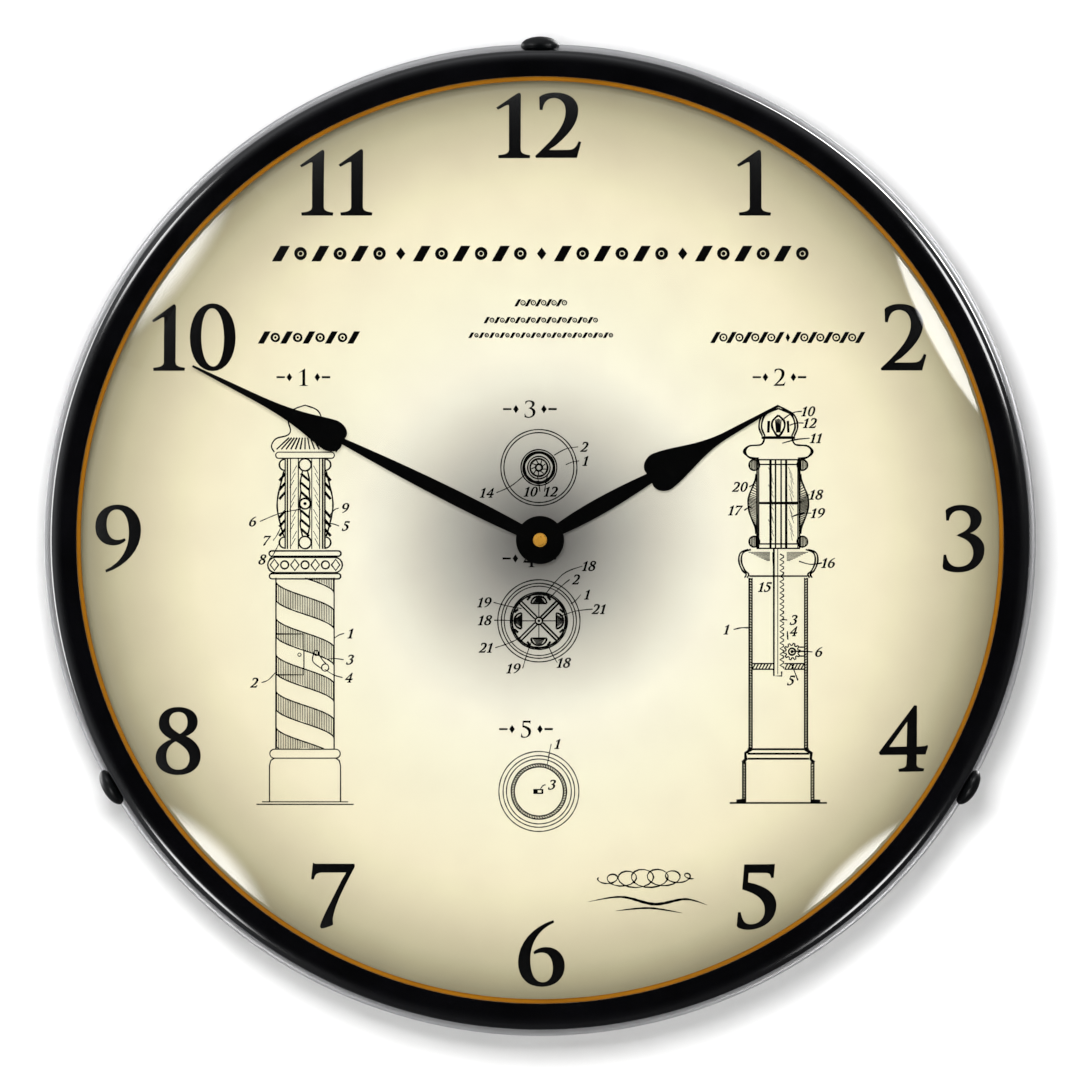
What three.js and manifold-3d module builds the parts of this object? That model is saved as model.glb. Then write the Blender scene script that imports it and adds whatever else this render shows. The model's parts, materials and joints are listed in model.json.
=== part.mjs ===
// A lighted wall clock with a 14 inch face: a spun aluminium case, a black bezel held by three radial
// thumb screws, a domed glass, a translucent dial lit from behind by a ring of LEDs, spade hands and
// a battery quartz movement with its whole wheel train.
//
// Millimetres. +Z is up and the face looks along -Y. The wall is the plane Y = 0. Everything is laid
// out round the dial axis, and the last lines move the origin to the screw that the clock hangs on.

import * as THREE from "three";
import { mergeVertices } from "three/addons/utils/BufferGeometryUtils.js";
import Module from "manifold-3d";

const wasm = await Module();
wasm.setup();

// ---- Driving dimensions ----------------------------------------------------------------------

const CASE_R = 177.8;
const SHEET = 1.2;
const WALL_GAP = 3;
const GAP = 0.3;
const HANG_HEIGHT = 120;
const RING_SEGMENTS = 48;

// Depths along Y, each the front or back face of something.
const CASE_BACK = -WALL_GAP;
const CASE_INSIDE = CASE_BACK - SHEET;
const SHOULDER = -54; // the step in front of the side wall
const NECK_FRONT = -68;

const CORNER_R = 148; // where the flat back turns into the sloping rear shoulder
const CORNER_FRONT = -33; // where that slope meets the side wall
const CASE_ROUND_R = 2;
const NECK_R = 173.9; // the neck that the glass and the bezel sit on
const BEZEL_R = 175.2;
const BEZEL_SHEET = 1;
const BEZEL_LIP_R = 166.2;
const BEZEL_ROUND_R = 5.2;
const BEZEL_ROUND_Y = -70.6;
const BEZEL_LIP_RISE = 0.8; // how far the lip stands in front of the rounded corner
const BEAD_R = 0.9;

const GLASS_R = 172.6;
const GLASS_THICK = 3;
const GLASS_BACK = -70.3;
const DOME_R = 168.5;
const DOME_Y = -71;
const DOME_RISE = 24;

const LEDGE_FRONT = SHOULDER + SHEET + GAP;
const DIAL_BACK = LEDGE_FRONT - GAP;
const DIAL_THICK = 3;
const DIAL_FRONT = DIAL_BACK - DIAL_THICK;
const DIAL_R = 172.3;
const DIAL_HOLE_R = 4.3;
const LEDGE_INNER_R = 166;
const SPACER_INNER_R = 166.7;
const SPACER_OUTER_R = 169.6;

const THUMB_SCREW_Y = -62.3;
const THUMB_SCREW_HOURS = [12, 4, 8];
const THUMB_HEAD_R = 6.9;
const THUMB_HEAD_THICK = 4.9;
const THUMB_SHANK_R = 2;
const THUMB_TIP = 169.9; // how far from the dial axis the shank ends

const MINUTE_ANGLE = 296.6;
const HOUR_ANGLE = 60.6;
const HAND_THICK = 0.8;
const HOUR_HAND_BACK = -60.4;
const MINUTE_HAND_BACK = -63.4;
const HOUR_TUBE_R = 2.5;
const MINUTE_ARBOR_R = 1.5;
const ARBOR_R = 0.5; // of the train's other wheels

const OPENING_R = 52; // the service opening in the back
const VENT_PITCH = 9;
const VENT_HEIGHT = 2.8;
const VENT_REACH = 22; // half the length of the middle vent
const NOTCH = { depth: 3, half: 5 };

// Keyhole plate on the back, held by two rivets.
const KEYHOLE_DROP = 9;
const KEYHOLE_HEAD_R = 5;
const KEYHOLE_SLOT_R = 2.5;
const HANGER_FRONT = CASE_BACK + GAP;
const HANGER_BACK = HANGER_FRONT + 1.5;
const HANGER_HALF_WIDTH = 22;
const HANGER_MARGIN = 12;
const RIVETS = { left: -16, right: 16 }; // across the back, level with the wall screw
const RIVET_R = 2;

const BUMPER_HOURS = { top_left: 10.5, top_right: 1.5, bottom: 6 };
const BUMPER_PLACE_R = 130;

// Power socket and switch, side by side on the slope below.
const JACK_HOUR = 6.25;
const JACK_BODY_R = 5.4;
const JACK_DEPTH = 13;
const SWITCH_HOUR = 5.8;
const SWITCH_BODY = { x: 8.2, z: 12.6 };
const SWITCH_DEPTH = 13;
const ROCKER_PIVOT = -0.6;
const ROCKER_TILT = 9;
const LEAD_R = 0.9;

// Quartz movement: a 56 mm square housing behind the dial.
const HOUSING = 56;
const HOUSING_WALL = 1.5;
const HOUSING_FRONT = DIAL_BACK + 1;
const HOUSING_BACK = HOUSING_FRONT + 16;
const ROOM_FRONT = HOUSING_FRONT + HOUSING_WALL;
const ROOM_BACK = HOUSING_BACK - HOUSING_WALL;
const BAY_TOP = -11.6; // the battery bay lies under this height, the wheels over it
const BUSHING_R = 3.8;

// The ring of LEDs behind the dial.
const LED_COUNT = 18;
const LED_RING_R = 96;
const LED_BOARD_HALF_WIDTH = 8;
const LED_SIZE = 4;
const LED_HEIGHT = 1.2;
const BOARD_BACK = CASE_INSIDE - 5;
const BOARD_FRONT = BOARD_BACK - 1.6;
const SUPPORT_HOURS = [2, 6, 10];

// ---- Materials -------------------------------------------------------------------------------

const paint = (color, roughness, metalness = 0, extra = {}) =>
  new THREE.MeshStandardMaterial({ color, roughness, metalness, ...extra });

const material = {
  aluminium: paint(0xb4b4b4, 0.35, 0.9),
  blackEnamel: paint(0x0a0a0b, 0.12),
  amber: paint(0x96600f, 0.4),
  glass: paint(0xffffff, 0.02, 0, { transparent: true, opacity: 0.15 }),
  rubber: paint(0x161616, 0.85),
  blackPlastic: paint(0x101112, 0.3),
  dial: paint(0xf4ecca, 0.6),
  whitePlastic: paint(0xe8e6e0, 0.55),
  brass: paint(0xc08a28, 0.25, 1),
  steel: paint(0xa8aaac, 0.3, 1),
  handBlack: paint(0x050505, 0.45),
  movementPlastic: paint(0x1c1d1f, 0.5),
  gearPlastic: paint(0xd9d4c4, 0.5),
  copper: paint(0xa5552b, 0.35, 1),
  greenBoard: paint(0x1d5a38, 0.5),
  whiteBoard: paint(0xf0f0ec, 0.4),
  battery: paint(0x2a3f6b, 0.35),
  red: paint(0x9c1f1a, 0.5),
};

// ---- Solids ----------------------------------------------------------------------------------

const DEG = Math.PI / 180;
const middle = (a, b) => (a + b) / 2;

/** A closed geometry as a manifold-3d solid. */
function toSolid(geometry) {
  const plain = geometry.index ? geometry.toNonIndexed() : geometry.clone();
  for (const name of Object.keys(plain.attributes)) {
    if (name !== "position") plain.deleteAttribute(name);
  }
  const merged = mergeVertices(plain, 1e-4);
  return new wasm.Manifold(
    new wasm.Mesh({
      numProp: 3,
      vertProperties: merged.attributes.position.array,
      triVerts: new Uint32Array(merged.index.array),
    }),
  );
}

/** A manifold-3d solid as a geometry. */
function toGeometry(solid) {
  const { numProp, vertProperties, triVerts } = solid.getMesh();
  const count = vertProperties.length / numProp;
  const position = new Float32Array(count * 3);
  for (let i = 0; i < count; i++) {
    position.set(vertProperties.subarray(i * numProp, i * numProp + 3), i * 3);
  }
  const geometry = new THREE.BufferGeometry();
  geometry.setAttribute("position", new THREE.BufferAttribute(position, 3));
  geometry.setIndex(new THREE.BufferAttribute(triVerts, 1));
  geometry.computeVertexNormals();
  return geometry;
}

const join = (...pieces) =>
  toGeometry(pieces.map(toSolid).reduce((whole, next) => whole.add(next)));

const cut = (body, ...tools) =>
  toGeometry(
    tools.map(toSolid).reduce((left, tool) => left.subtract(tool), toSolid(body)),
  );

/** Points on an arc, in the plane of a profile or an outline; angles in degrees. */
function arc(cx, cy, r, from, to, steps) {
  return Array.from({ length: steps + 1 }, (_, i) => {
    const a = (from + ((to - from) * i) / steps) * DEG;
    return [cx + r * Math.cos(a), cy + r * Math.sin(a)];
  });
}

/** Turns a profile of [radius, y] points round the Y axis. It closes on itself or on the axis. */
function turned(profile, segments = RING_SEGMENTS) {
  const area = profile.reduce((sum, [r, y], i) => {
    const [r2, y2] = profile[(i + 1) % profile.length];
    return sum + r * y2 - r2 * y;
  }, 0);
  const outward = area > 0 ? [...profile] : [...profile].reverse();
  while (outward.some(([r]) => r === 0) && outward[0][0] !== 0) outward.push(outward.shift());
  if (outward[0][0] === 0 && outward.at(-1)[0] !== 0) outward.push(outward.shift());
  if (outward[0][0] !== 0) outward.push(outward[0]);
  return new THREE.LatheGeometry(
    outward.map(([r, y]) => new THREE.Vector2(r, y)),
    segments,
  );
}

const rod = (r, y0, y1, segments = 12) =>
  turned([[0, y0], [r, y0], [r, y1], [0, y1]], segments);

const tube = (outer, inner, y0, y1, segments = 12) =>
  turned([[inner, y0], [outer, y0], [outer, y1], [inner, y1]], segments);

const block = (x0, x1, y0, y1, z0, z1) =>
  new THREE.BoxGeometry(x1 - x0, y1 - y0, z1 - z0).translate(
    middle(x0, x1),
    middle(y0, y1),
    middle(z0, z1),
  );

/** An outline of [x, z] points, or a THREE.Shape, made into a plate between two depths. */
function plate(outline, front, back, holes = []) {
  const asPath = (points) => points.map(([x, z]) => new THREE.Vector2(x, z));
  const shape = outline instanceof THREE.Shape ? outline : new THREE.Shape(asPath(outline));
  for (const hole of holes) shape.holes.push(new THREE.Path(asPath(hole)));
  const geometry = new THREE.ExtrudeGeometry(shape, {
    depth: back - front,
    bevelEnabled: false,
    curveSegments: 8,
  });
  return geometry.rotateX(Math.PI / 2).translate(0, back, 0);
}

const circle = (x, z, r, steps) => arc(x, z, r, 0, 360, steps).slice(0, -1);

/** A hexagon nut with a round hole, its axis along Y. */
const nut = (r, holeR, front, back) =>
  plate(circle(0, 0, r, 6), front, back, [circle(0, 0, holeR, 16)]);

/** A rectangle's outline with round corners. */
function roundedRect(x0, x1, z0, z1, r, steps = 2) {
  return [
    ...arc(x1 - r, z1 - r, r, 0, 90, steps),
    ...arc(x0 + r, z1 - r, r, 90, 180, steps),
    ...arc(x0 + r, z0 + r, r, 180, 270, steps),
    ...arc(x1 - r, z0 + r, r, 270, 360, steps),
  ];
}

/** A named mesh. A matrix or a position places it. */
function piece(name, geometry, look, place = new THREE.Matrix4()) {
  const mesh = new THREE.Mesh(geometry, look);
  mesh.name = name;
  mesh.applyMatrix4(place);
  return mesh;
}

const at = (x, z) => new THREE.Matrix4().makeTranslation(x, 0, z);

/** Turns what is built at 12 o'clock to an angle clockwise from it, as seen from the front. */
const clockwise = (degrees) => new THREE.Matrix4().makeRotationY(degrees * DEG);

/** Where a rod built along Y points out along the radius at one hour, at one depth. */
function radial(hour, y) {
  return clockwise(hour * 30)
    .multiply(new THREE.Matrix4().makeTranslation(0, y, 0))
    .multiply(new THREE.Matrix4().makeRotationX(Math.PI / 2));
}

// ---- Case ------------------------------------------------------------------------------------

const SLOPE_R = middle(CORNER_R, CASE_R);
const SLOPE_Y = middle(CASE_BACK, CORNER_FRONT);
const SLOPE_TILT = Math.atan2(CASE_BACK - CORNER_FRONT, CASE_R - CORNER_R);

/** The middle of the sloping rear shoulder at an hour: +Y points straight out of the sheet. */
function onSlope(hour) {
  return clockwise(hour * 30)
    .multiply(new THREE.Matrix4().makeTranslation(0, SLOPE_Y, SLOPE_R))
    .multiply(new THREE.Matrix4().makeRotationX(SLOPE_TILT));
}

/** Tools that cut the three radial screw holes out of a ring, between two radii. */
const screwHoleTools = (from, to) =>
  THUMB_SCREW_HOURS.map((hour) =>
    rod(THUMB_SHANK_R + GAP, from, to).applyMatrix4(radial(hour, THUMB_SCREW_Y)),
  );

/** The spun shell: flat back, sloping shoulder, side wall, and a step up to the neck. */
function casePan() {
  const wallInside = CASE_R - SHEET;
  const roundX = CASE_R - CASE_ROUND_R;
  const body = turned([
    [OPENING_R, CASE_BACK],
    [CORNER_R, CASE_BACK],
    [CASE_R, CORNER_FRONT],
    ...arc(roundX, SHOULDER + CASE_ROUND_R, CASE_ROUND_R, 0, -90, 2),
    [NECK_R, SHOULDER],
    [NECK_R, NECK_FRONT],
    [NECK_R - SHEET, NECK_FRONT],
    [NECK_R - SHEET, SHOULDER + SHEET],
    [wallInside, SHOULDER + SHEET],
    [wallInside, CORNER_FRONT - 0.5],
    [CORNER_R - 0.5, CASE_INSIDE],
    [OPENING_R, CASE_INSIDE],
  ]);
  const keyholeClearance = plate(
    roundedRect(-8, 8, HANG_HEIGHT - KEYHOLE_DROP - 8, HANG_HEIGHT + 6, 6),
    CASE_INSIDE - 1,
    CASE_BACK + 1,
  );
  const jackHole = rod(JACK_BODY_R + GAP, -4, 4, 16).applyMatrix4(onSlope(JACK_HOUR));
  const switchHole = block(
    -SWITCH_BODY.x / 2 - GAP, SWITCH_BODY.x / 2 + GAP, -4, 4,
    -SWITCH_BODY.z / 2 - GAP, SWITCH_BODY.z / 2 + GAP,
  ).applyMatrix4(onSlope(SWITCH_HOUR));
  const rivetHoles = Object.values(RIVETS).map((x) =>
    rod(RIVET_R + 0.1, CASE_INSIDE - 1, CASE_BACK + 1, 10).translate(x, 0, HANG_HEIGHT),
  );
  const screwHoles = screwHoleTools(NECK_R - 4, NECK_R + 1);
  const tools = [...screwHoles, keyholeClearance, jackHole, switchHole, ...rivetHoles];
  return piece("case_pan", cut(body, ...tools), material.aluminium);
}

/** A steel plate with a keyhole, on the outside of the back: the wall screw's head goes in below. */
function hangerPlate() {
  const headZ = HANG_HEIGHT - KEYHOLE_DROP;
  const enter = Math.acos(KEYHOLE_SLOT_R / KEYHOLE_HEAD_R) / DEG;
  const keyhole = [
    ...arc(0, HANG_HEIGHT, KEYHOLE_SLOT_R, 0, 180, 6),
    ...arc(0, headZ, KEYHOLE_HEAD_R, 180 - enter, 360 + enter, 12),
  ];
  const rivetHoles = Object.values(RIVETS).map((x) => circle(x, HANG_HEIGHT, RIVET_R + 0.1, 10));
  const outline = roundedRect(
    -HANGER_HALF_WIDTH, HANGER_HALF_WIDTH, headZ - HANGER_MARGIN, HANG_HEIGHT + HANGER_MARGIN, 4,
  );
  const sheet = plate(outline, HANGER_FRONT, HANGER_BACK, [keyhole, ...rivetHoles]);
  return piece("hanger_plate", sheet, material.steel);
}

/** Each rivet has its flat head inside the case and its closed end on the plate. */
function hangerRivets() {
  const headBack = CASE_INSIDE - 0.2;
  const headFront = headBack - 1.4;
  const closedFront = HANGER_BACK + 0.1;
  const profile = [
    [0, headFront], [RIVET_R + 1.2, headFront], [RIVET_R + 1.2, headBack],
    [RIVET_R - 0.1, headBack], [RIVET_R - 0.1, closedFront],
    [RIVET_R + 1, closedFront], [RIVET_R - 0.6, closedFront + 0.9], [0, closedFront + 0.9],
  ];
  return Object.entries(RIVETS).map(([side, x]) =>
    piece(`hanger_rivet_${side}`, turned(profile, 10), material.steel, at(x, HANG_HEIGHT)),
  );
}

/** Three rubber feet that stand the back off the wall. */
function wallBumpers() {
  return Object.entries(BUMPER_HOURS).map(([where, hour]) => {
    const a = hour * 30 * DEG;
    return piece(
      `wall_bumper_${where}`,
      turned([[0, CASE_BACK + GAP], [7.5, CASE_BACK + GAP], [6.5, 0], [0, 0]], 16),
      material.rubber,
      at(BUMPER_PLACE_R * Math.sin(a), BUMPER_PLACE_R * Math.cos(a)),
    );
  });
}

/** The plastic cap over the service opening, with vents and two prising notches. */
function rearCover() {
  const flangeFront = CASE_BACK + GAP;
  const flangeBack = flangeFront + 1.5;
  const flangeR = OPENING_R + 6;
  const body = turned([
    [0, flangeFront], [OPENING_R - 2.5, flangeFront], [OPENING_R - 2.5, CASE_INSIDE - 7],
    [OPENING_R - 0.8, CASE_INSIDE - 7], [OPENING_R - 0.8, flangeFront], [flangeR, flangeFront],
    [flangeR, flangeBack - 0.5], [flangeR - 1, flangeBack], [0, flangeBack],
  ]);
  const through = [flangeFront - 1, flangeBack + 1];
  const vents = [-2, -1, 0, 1, 2].map((row) => {
    const reach = VENT_REACH - 3 * Math.abs(row);
    const low = row * VENT_PITCH - VENT_HEIGHT / 2;
    return block(-reach, reach, ...through, low, low + VENT_HEIGHT);
  });
  const notches = [-flangeR, flangeR].map((x) =>
    block(x - NOTCH.depth, x + NOTCH.depth, ...through, -NOTCH.half, NOTCH.half),
  );
  return piece("rear_cover", cut(body, ...vents, ...notches), material.blackPlastic);
}

// ---- Bezel, glass and dial -------------------------------------------------------------------

const LIP_FRONT = BEZEL_ROUND_Y - BEZEL_ROUND_R - BEZEL_LIP_RISE;

/** The black ring: a skirt over the neck, a rounded corner, and a lip over the glass. */
function bezel() {
  const inner = BEZEL_R - BEZEL_SHEET;
  const roundX = BEZEL_R - BEZEL_ROUND_R;
  const body = turned([
    [BEZEL_R, SHOULDER - GAP],
    ...arc(roundX, BEZEL_ROUND_Y, BEZEL_ROUND_R, 0, -90, 3),
    [BEZEL_LIP_R, LIP_FRONT],
    [BEZEL_LIP_R, LIP_FRONT + BEZEL_SHEET],
    ...arc(roundX, BEZEL_ROUND_Y, BEZEL_ROUND_R - BEZEL_SHEET, -90, 0, 2),
    [inner, SHOULDER - GAP],
  ]);
  return piece("bezel", cut(body, ...screwHoleTools(inner - 1, BEZEL_R + 1)), material.blackEnamel);
}

/** The amber bead that closes the corner between the bezel's lip and the glass. */
function glassBead() {
  const section = circle(BEZEL_LIP_R - BEAD_R, LIP_FRONT - 0.5, BEAD_R, 6);
  return piece("glass_bead", turned(section), material.amber);
}

/** Points down one face of the dome, from its edge to its crown. */
function domeFace(edgeR, rise, edgeAngle, steps) {
  return Array.from({ length: steps + 1 }, (_, i) => {
    const a = edgeAngle * (1 - i / steps) * DEG;
    return [edgeR * Math.sin(a), DOME_Y - rise * Math.cos(a)];
  });
}

/** The glass: a flat flange under the bezel, and a dome of even thickness. */
function glass() {
  const outside = domeFace(DOME_R, DOME_RISE, 84.5, 6);
  const inside = domeFace(DOME_R - GLASS_THICK, DOME_RISE - GLASS_THICK, 89, 5).reverse();
  return piece(
    "lens_glass",
    turned([
      [GLASS_R, GLASS_BACK], [GLASS_R, GLASS_BACK - GLASS_THICK], ...outside, ...inside,
      [DOME_R - GLASS_THICK, GLASS_BACK],
    ]),
    material.glass,
  );
}

/** The rings that hold the glass and the dial apart, and the ledge that the dial rests on. */
function rings() {
  const gasket = tube(NECK_R - 0.1, NECK_R - 3.4, GLASS_BACK + 0.2, NECK_FRONT - 0.2, RING_SEGMENTS);
  const spacer = tube(
    SPACER_OUTER_R, SPACER_INNER_R, GLASS_BACK + GAP, DIAL_FRONT - GAP, RING_SEGMENTS,
  );
  const ledgeR = CASE_R - SHEET - 0.4;
  const ledge = tube(ledgeR, LEDGE_INNER_R, LEDGE_FRONT, LEDGE_FRONT + SHEET, RING_SEGMENTS);
  return [
    piece("glass_gasket", gasket, material.rubber),
    piece("dial_spacer", spacer, material.whitePlastic),
    piece("dial_ledge", ledge, material.steel),
  ];
}

const dialPanel = () => {
  const disc = tube(DIAL_R, DIAL_HOLE_R, DIAL_FRONT, DIAL_BACK, RING_SEGMENTS);
  return piece("dial_panel", disc, material.dial);
};

/** A screw with a domed head at each of three hours, and the nut inside the neck that it runs in. */
function thumbScrews() {
  const underHead = BEZEL_R + 0.2;
  const rim = underHead + 1.4;
  const dome = underHead + THUMB_HEAD_THICK - rim;
  const crown = [0, 22.5, 45, 67.5].map((a) => [
    THUMB_HEAD_R * Math.cos(a * DEG),
    rim + dome * Math.sin(a * DEG),
  ]);
  const profile = [
    [0, THUMB_TIP], [THUMB_SHANK_R, THUMB_TIP], [THUMB_SHANK_R, underHead],
    [THUMB_HEAD_R - 1.2, underHead], ...crown, [0, rim + dome],
  ];
  return THUMB_SCREW_HOURS.flatMap((hour) => [
    piece(`bezel_screw_${hour}`, turned(profile, 20), material.blackPlastic, radial(hour, THUMB_SCREW_Y)),
    piece(
      `bezel_nut_${hour}`,
      nut(4.2, THUMB_SHANK_R + GAP, THUMB_TIP + 0.2, NECK_R - SHEET - 0.4),
      material.steel,
      radial(hour, THUMB_SCREW_Y),
    ),
  ]);
}

// ---- Hands -----------------------------------------------------------------------------------

/**
 * A spade hand's outline: a leaf-shaped arm, the spade's round lobes, and a long drawn-out point.
 * length, spadeFrom and lobeAt are distances from the arbor, and the rest are half widths.
 */
function spadeOutline({ length, hubR, armStart, armWidest, armEnd, spadeFrom, lobeAt, lobe, tip }) {
  const hubZ = Math.sqrt(hubR ** 2 - armStart ** 2);
  const hubAngle = Math.asin(armStart / hubR);
  const armBend = [armWidest * 1.6 - armStart / 2, middle(hubZ, spadeFrom) * 0.85];
  const underLobe = [[lobe * 0.75, spadeFrom - 1], [lobe * 1.12, middle(spadeFrom, lobeAt)]];
  const overLobe = [[lobe * 0.85, lobeAt + lobe], [tip * 5, lobeAt + lobe * 2]];
  const neck = [tip * 3.2, middle(lobeAt, length) + 1];
  const mirror = ([x, z]) => [-x, z];
  const shape = new THREE.Shape();
  shape.moveTo(-armStart, hubZ);
  shape.quadraticCurveTo(...mirror(armBend), -armEnd, spadeFrom);
  shape.bezierCurveTo(...underLobe.flatMap(mirror), -lobe, lobeAt);
  shape.bezierCurveTo(...overLobe.flatMap(mirror), ...mirror(neck));
  shape.lineTo(-tip, length);
  shape.lineTo(tip, length);
  shape.lineTo(...neck);
  shape.bezierCurveTo(...overLobe.toReversed().flat(), lobe, lobeAt);
  shape.bezierCurveTo(...underLobe.toReversed().flat(), armEnd, spadeFrom);
  shape.quadraticCurveTo(...armBend, armStart, hubZ);
  shape.absarc(0, 0, hubR, Math.PI / 2 - hubAngle, -Math.PI * 1.5 + hubAngle, true);
  return shape;
}

const HOUR_HAND = {
  length: 97.9, hubR: 6.5, armStart: 1.9, armWidest: 3.1, armEnd: 1.9,
  spadeFrom: 44.9, lobeAt: 51, lobe: 7, tip: 0.4,
};
const MINUTE_HAND = {
  length: 138.9, hubR: 8.6, armStart: 2.2, armWidest: 2.9, armEnd: 1.1,
  spadeFrom: 78.6, lobeAt: 84.6, lobe: 5.6, tip: 0.4,
};

/** A hand cut from sheet, with a hole that fits the tube or arbor it is pressed on. */
function hand(name, shape, back, boreR, angle) {
  const blade = plate(spadeOutline(shape), back - HAND_THICK, back, [circle(0, 0, boreR, 12)]);
  return piece(name, blade, material.handBlack, clockwise(angle));
}

/** The small domed nut that closes the front of the minute hand's arbor. */
function capNut() {
  const back = MINUTE_HAND_BACK - HAND_THICK - 0.1;
  const front = back - 3.1;
  const boreR = MINUTE_ARBOR_R + 0.15;
  const profile = [
    [boreR, back], [2.5, back], [2.5, front + 1.2], [1.6, front + 0.2], [0, front],
    [0, front + 0.7], [boreR, front + 0.7],
  ];
  return piece("hand_cap_nut", turned(profile, 16), material.brass);
}

const hands = () => [
  hand("hour_hand", HOUR_HAND, HOUR_HAND_BACK, HOUR_TUBE_R + 0.1, HOUR_ANGLE),
  hand("minute_hand", MINUTE_HAND, MINUTE_HAND_BACK, MINUTE_ARBOR_R + 0.1, MINUTE_ANGLE),
  capNut(),
];

// ---- Movement: wheel train -------------------------------------------------------------------

/** A spur gear's outline, with the fine pointed teeth of moulded clock wheels. */
function gearOutline(teeth, module, phase = 0) {
  const pitch = 360 / teeth;
  const r = (teeth * module) / 2;
  const rootR = r - 1.2 * module;
  const tipR = r + 0.8 * module;
  const corners = [[rootR, -0.26], [tipR, 0], [rootR, 0.26]];
  return Array.from({ length: teeth }, (_, i) =>
    corners.map(([radius, share]) => {
      const a = (phase + (i + share) * pitch) * DEG;
      return [radius * Math.cos(a), radius * Math.sin(a)];
    }),
  ).flat();
}

/** The phase that puts a gear's teeth in the gaps of one already placed, and where it sits. */
function meshWith(driver, teeth, module, direction) {
  const distance = (module * (driver.teeth + teeth)) / 2;
  const phase = direction + 180 - ((driver.phase - direction) * driver.teeth + 180) / teeth;
  return {
    x: driver.x + distance * Math.cos(direction * DEG),
    z: driver.z + distance * Math.sin(direction * DEG),
    teeth, module, phase,
  };
}

// The depths of the six layers that wheels run in, front to back, each 1 mm thick.
const LAYER = [0.3, 1.9, 3.5, 5.1, 7.9, 9.5].map((depth) => ROOM_FRONT + depth);
const LAYER_THICK = 1;
const BRIDGE_FRONT = LAYER[3] + LAYER_THICK + 0.5;
const BRIDGE_BACK = BRIDGE_FRONT + 0.8;

// Teeth. Minute hand to hour hand is 12 to 1; seconds wheel to minute hand is 60 to 1; the rotor's
// half turn each second is 30 to 1 on the seconds wheel.
const cannon = { x: 0, z: 0, teeth: 12, module: 0.375, phase: 0 };
const minuteWheelGear = meshWith(cannon, 36, 0.375, 150);
const knobGear = meshWith(minuteWheelGear, 12, 0.375, 150);
const minutePinion = { ...minuteWheelGear, teeth: 10, module: 0.36 };
const hourGear = meshWith(minutePinion, 40, 0.36, -30);
const centreGear = { x: 0, z: 0, teeth: 64, module: 0.3, phase: 0 };
const thirdPinion = meshWith(centreGear, 8, 0.3, 30);
const thirdGear = { ...thirdPinion, teeth: 60, module: 10.8 / 34 };
const secondsPinion = meshWith(thirdGear, 8, 10.8 / 34, 210);
const secondsGear = { x: 0, z: 0, teeth: 48, module: 0.3, phase: secondsPinion.phase };
const stepPinion = meshWith(secondsGear, 8, 0.3, 75);
const stepGear = { ...stepPinion, teeth: 40, module: 0.28 };
const rotorPinion = meshWith(stepGear, 8, 0.28, 100);

const gearBetween = ({ teeth, module, phase }, front, back, holes = []) =>
  plate(gearOutline(teeth, module, phase), front, back, holes);

const wheelAt = (gear, layer, holes) =>
  gearBetween(gear, LAYER[layer], LAYER[layer] + LAYER_THICK, holes);

const BACK_END = ROOM_BACK - 0.2; // where the long arbors end
const ARBOR_TIP = MINUTE_HAND_BACK - HAND_THICK - 2;
const thinRod = (y0, y1) => rod(ARBOR_R, y0, y1, 8);
const atGear = ({ x, z }) => at(x, z);

/** The wheels under the dial: they carry the hands, and the knob at the back sets them. */
function motionWork() {
  const look = material.gearPlastic;
  const hourTube = rod(HOUR_TUBE_R, HOUR_HAND_BACK - HAND_THICK - 0.3, LAYER[0] + LAYER_THICK);
  const hourBore = rod(HOUR_TUBE_R - 0.75, HOUR_HAND_BACK - 5, LAYER[1]);
  const cannonPinion = join(
    gearBetween(cannon, LAYER[1] - 0.2, LAYER[1] + 1.2),
    rod(MINUTE_ARBOR_R, ARBOR_TIP, LAYER[2] + LAYER_THICK + 0.3),
  );
  const minuteWheel = join(
    wheelAt(minuteWheelGear, 1),
    gearBetween(minutePinion, ROOM_FRONT + 0.1, LAYER[1] + 0.5),
    thinRod(ROOM_FRONT + 0.1, LAYER[2] - 0.2),
  );
  const setKnob = join(
    gearBetween(knobGear, LAYER[1] - 0.2, LAYER[1] + LAYER_THICK + 0.2),
    rod(1.4, ROOM_FRONT + 0.2, HOUSING_BACK + 1.5, 10),
    plate(gearOutline(16, 0.85), HOUSING_BACK + 0.5, HOUSING_BACK + 5),
  );
  return [
    piece("cannon_pinion", cut(cannonPinion, rod(0.75, ARBOR_TIP - 1, ROOM_BACK, 10)), look),
    piece("hour_wheel", cut(join(wheelAt(hourGear, 0), hourTube), hourBore), look),
    piece("minute_wheel", minuteWheel, look, atGear(minuteWheelGear)),
    piece("set_knob", setKnob, material.blackPlastic, atGear(knobGear)),
  ];
}

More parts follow.
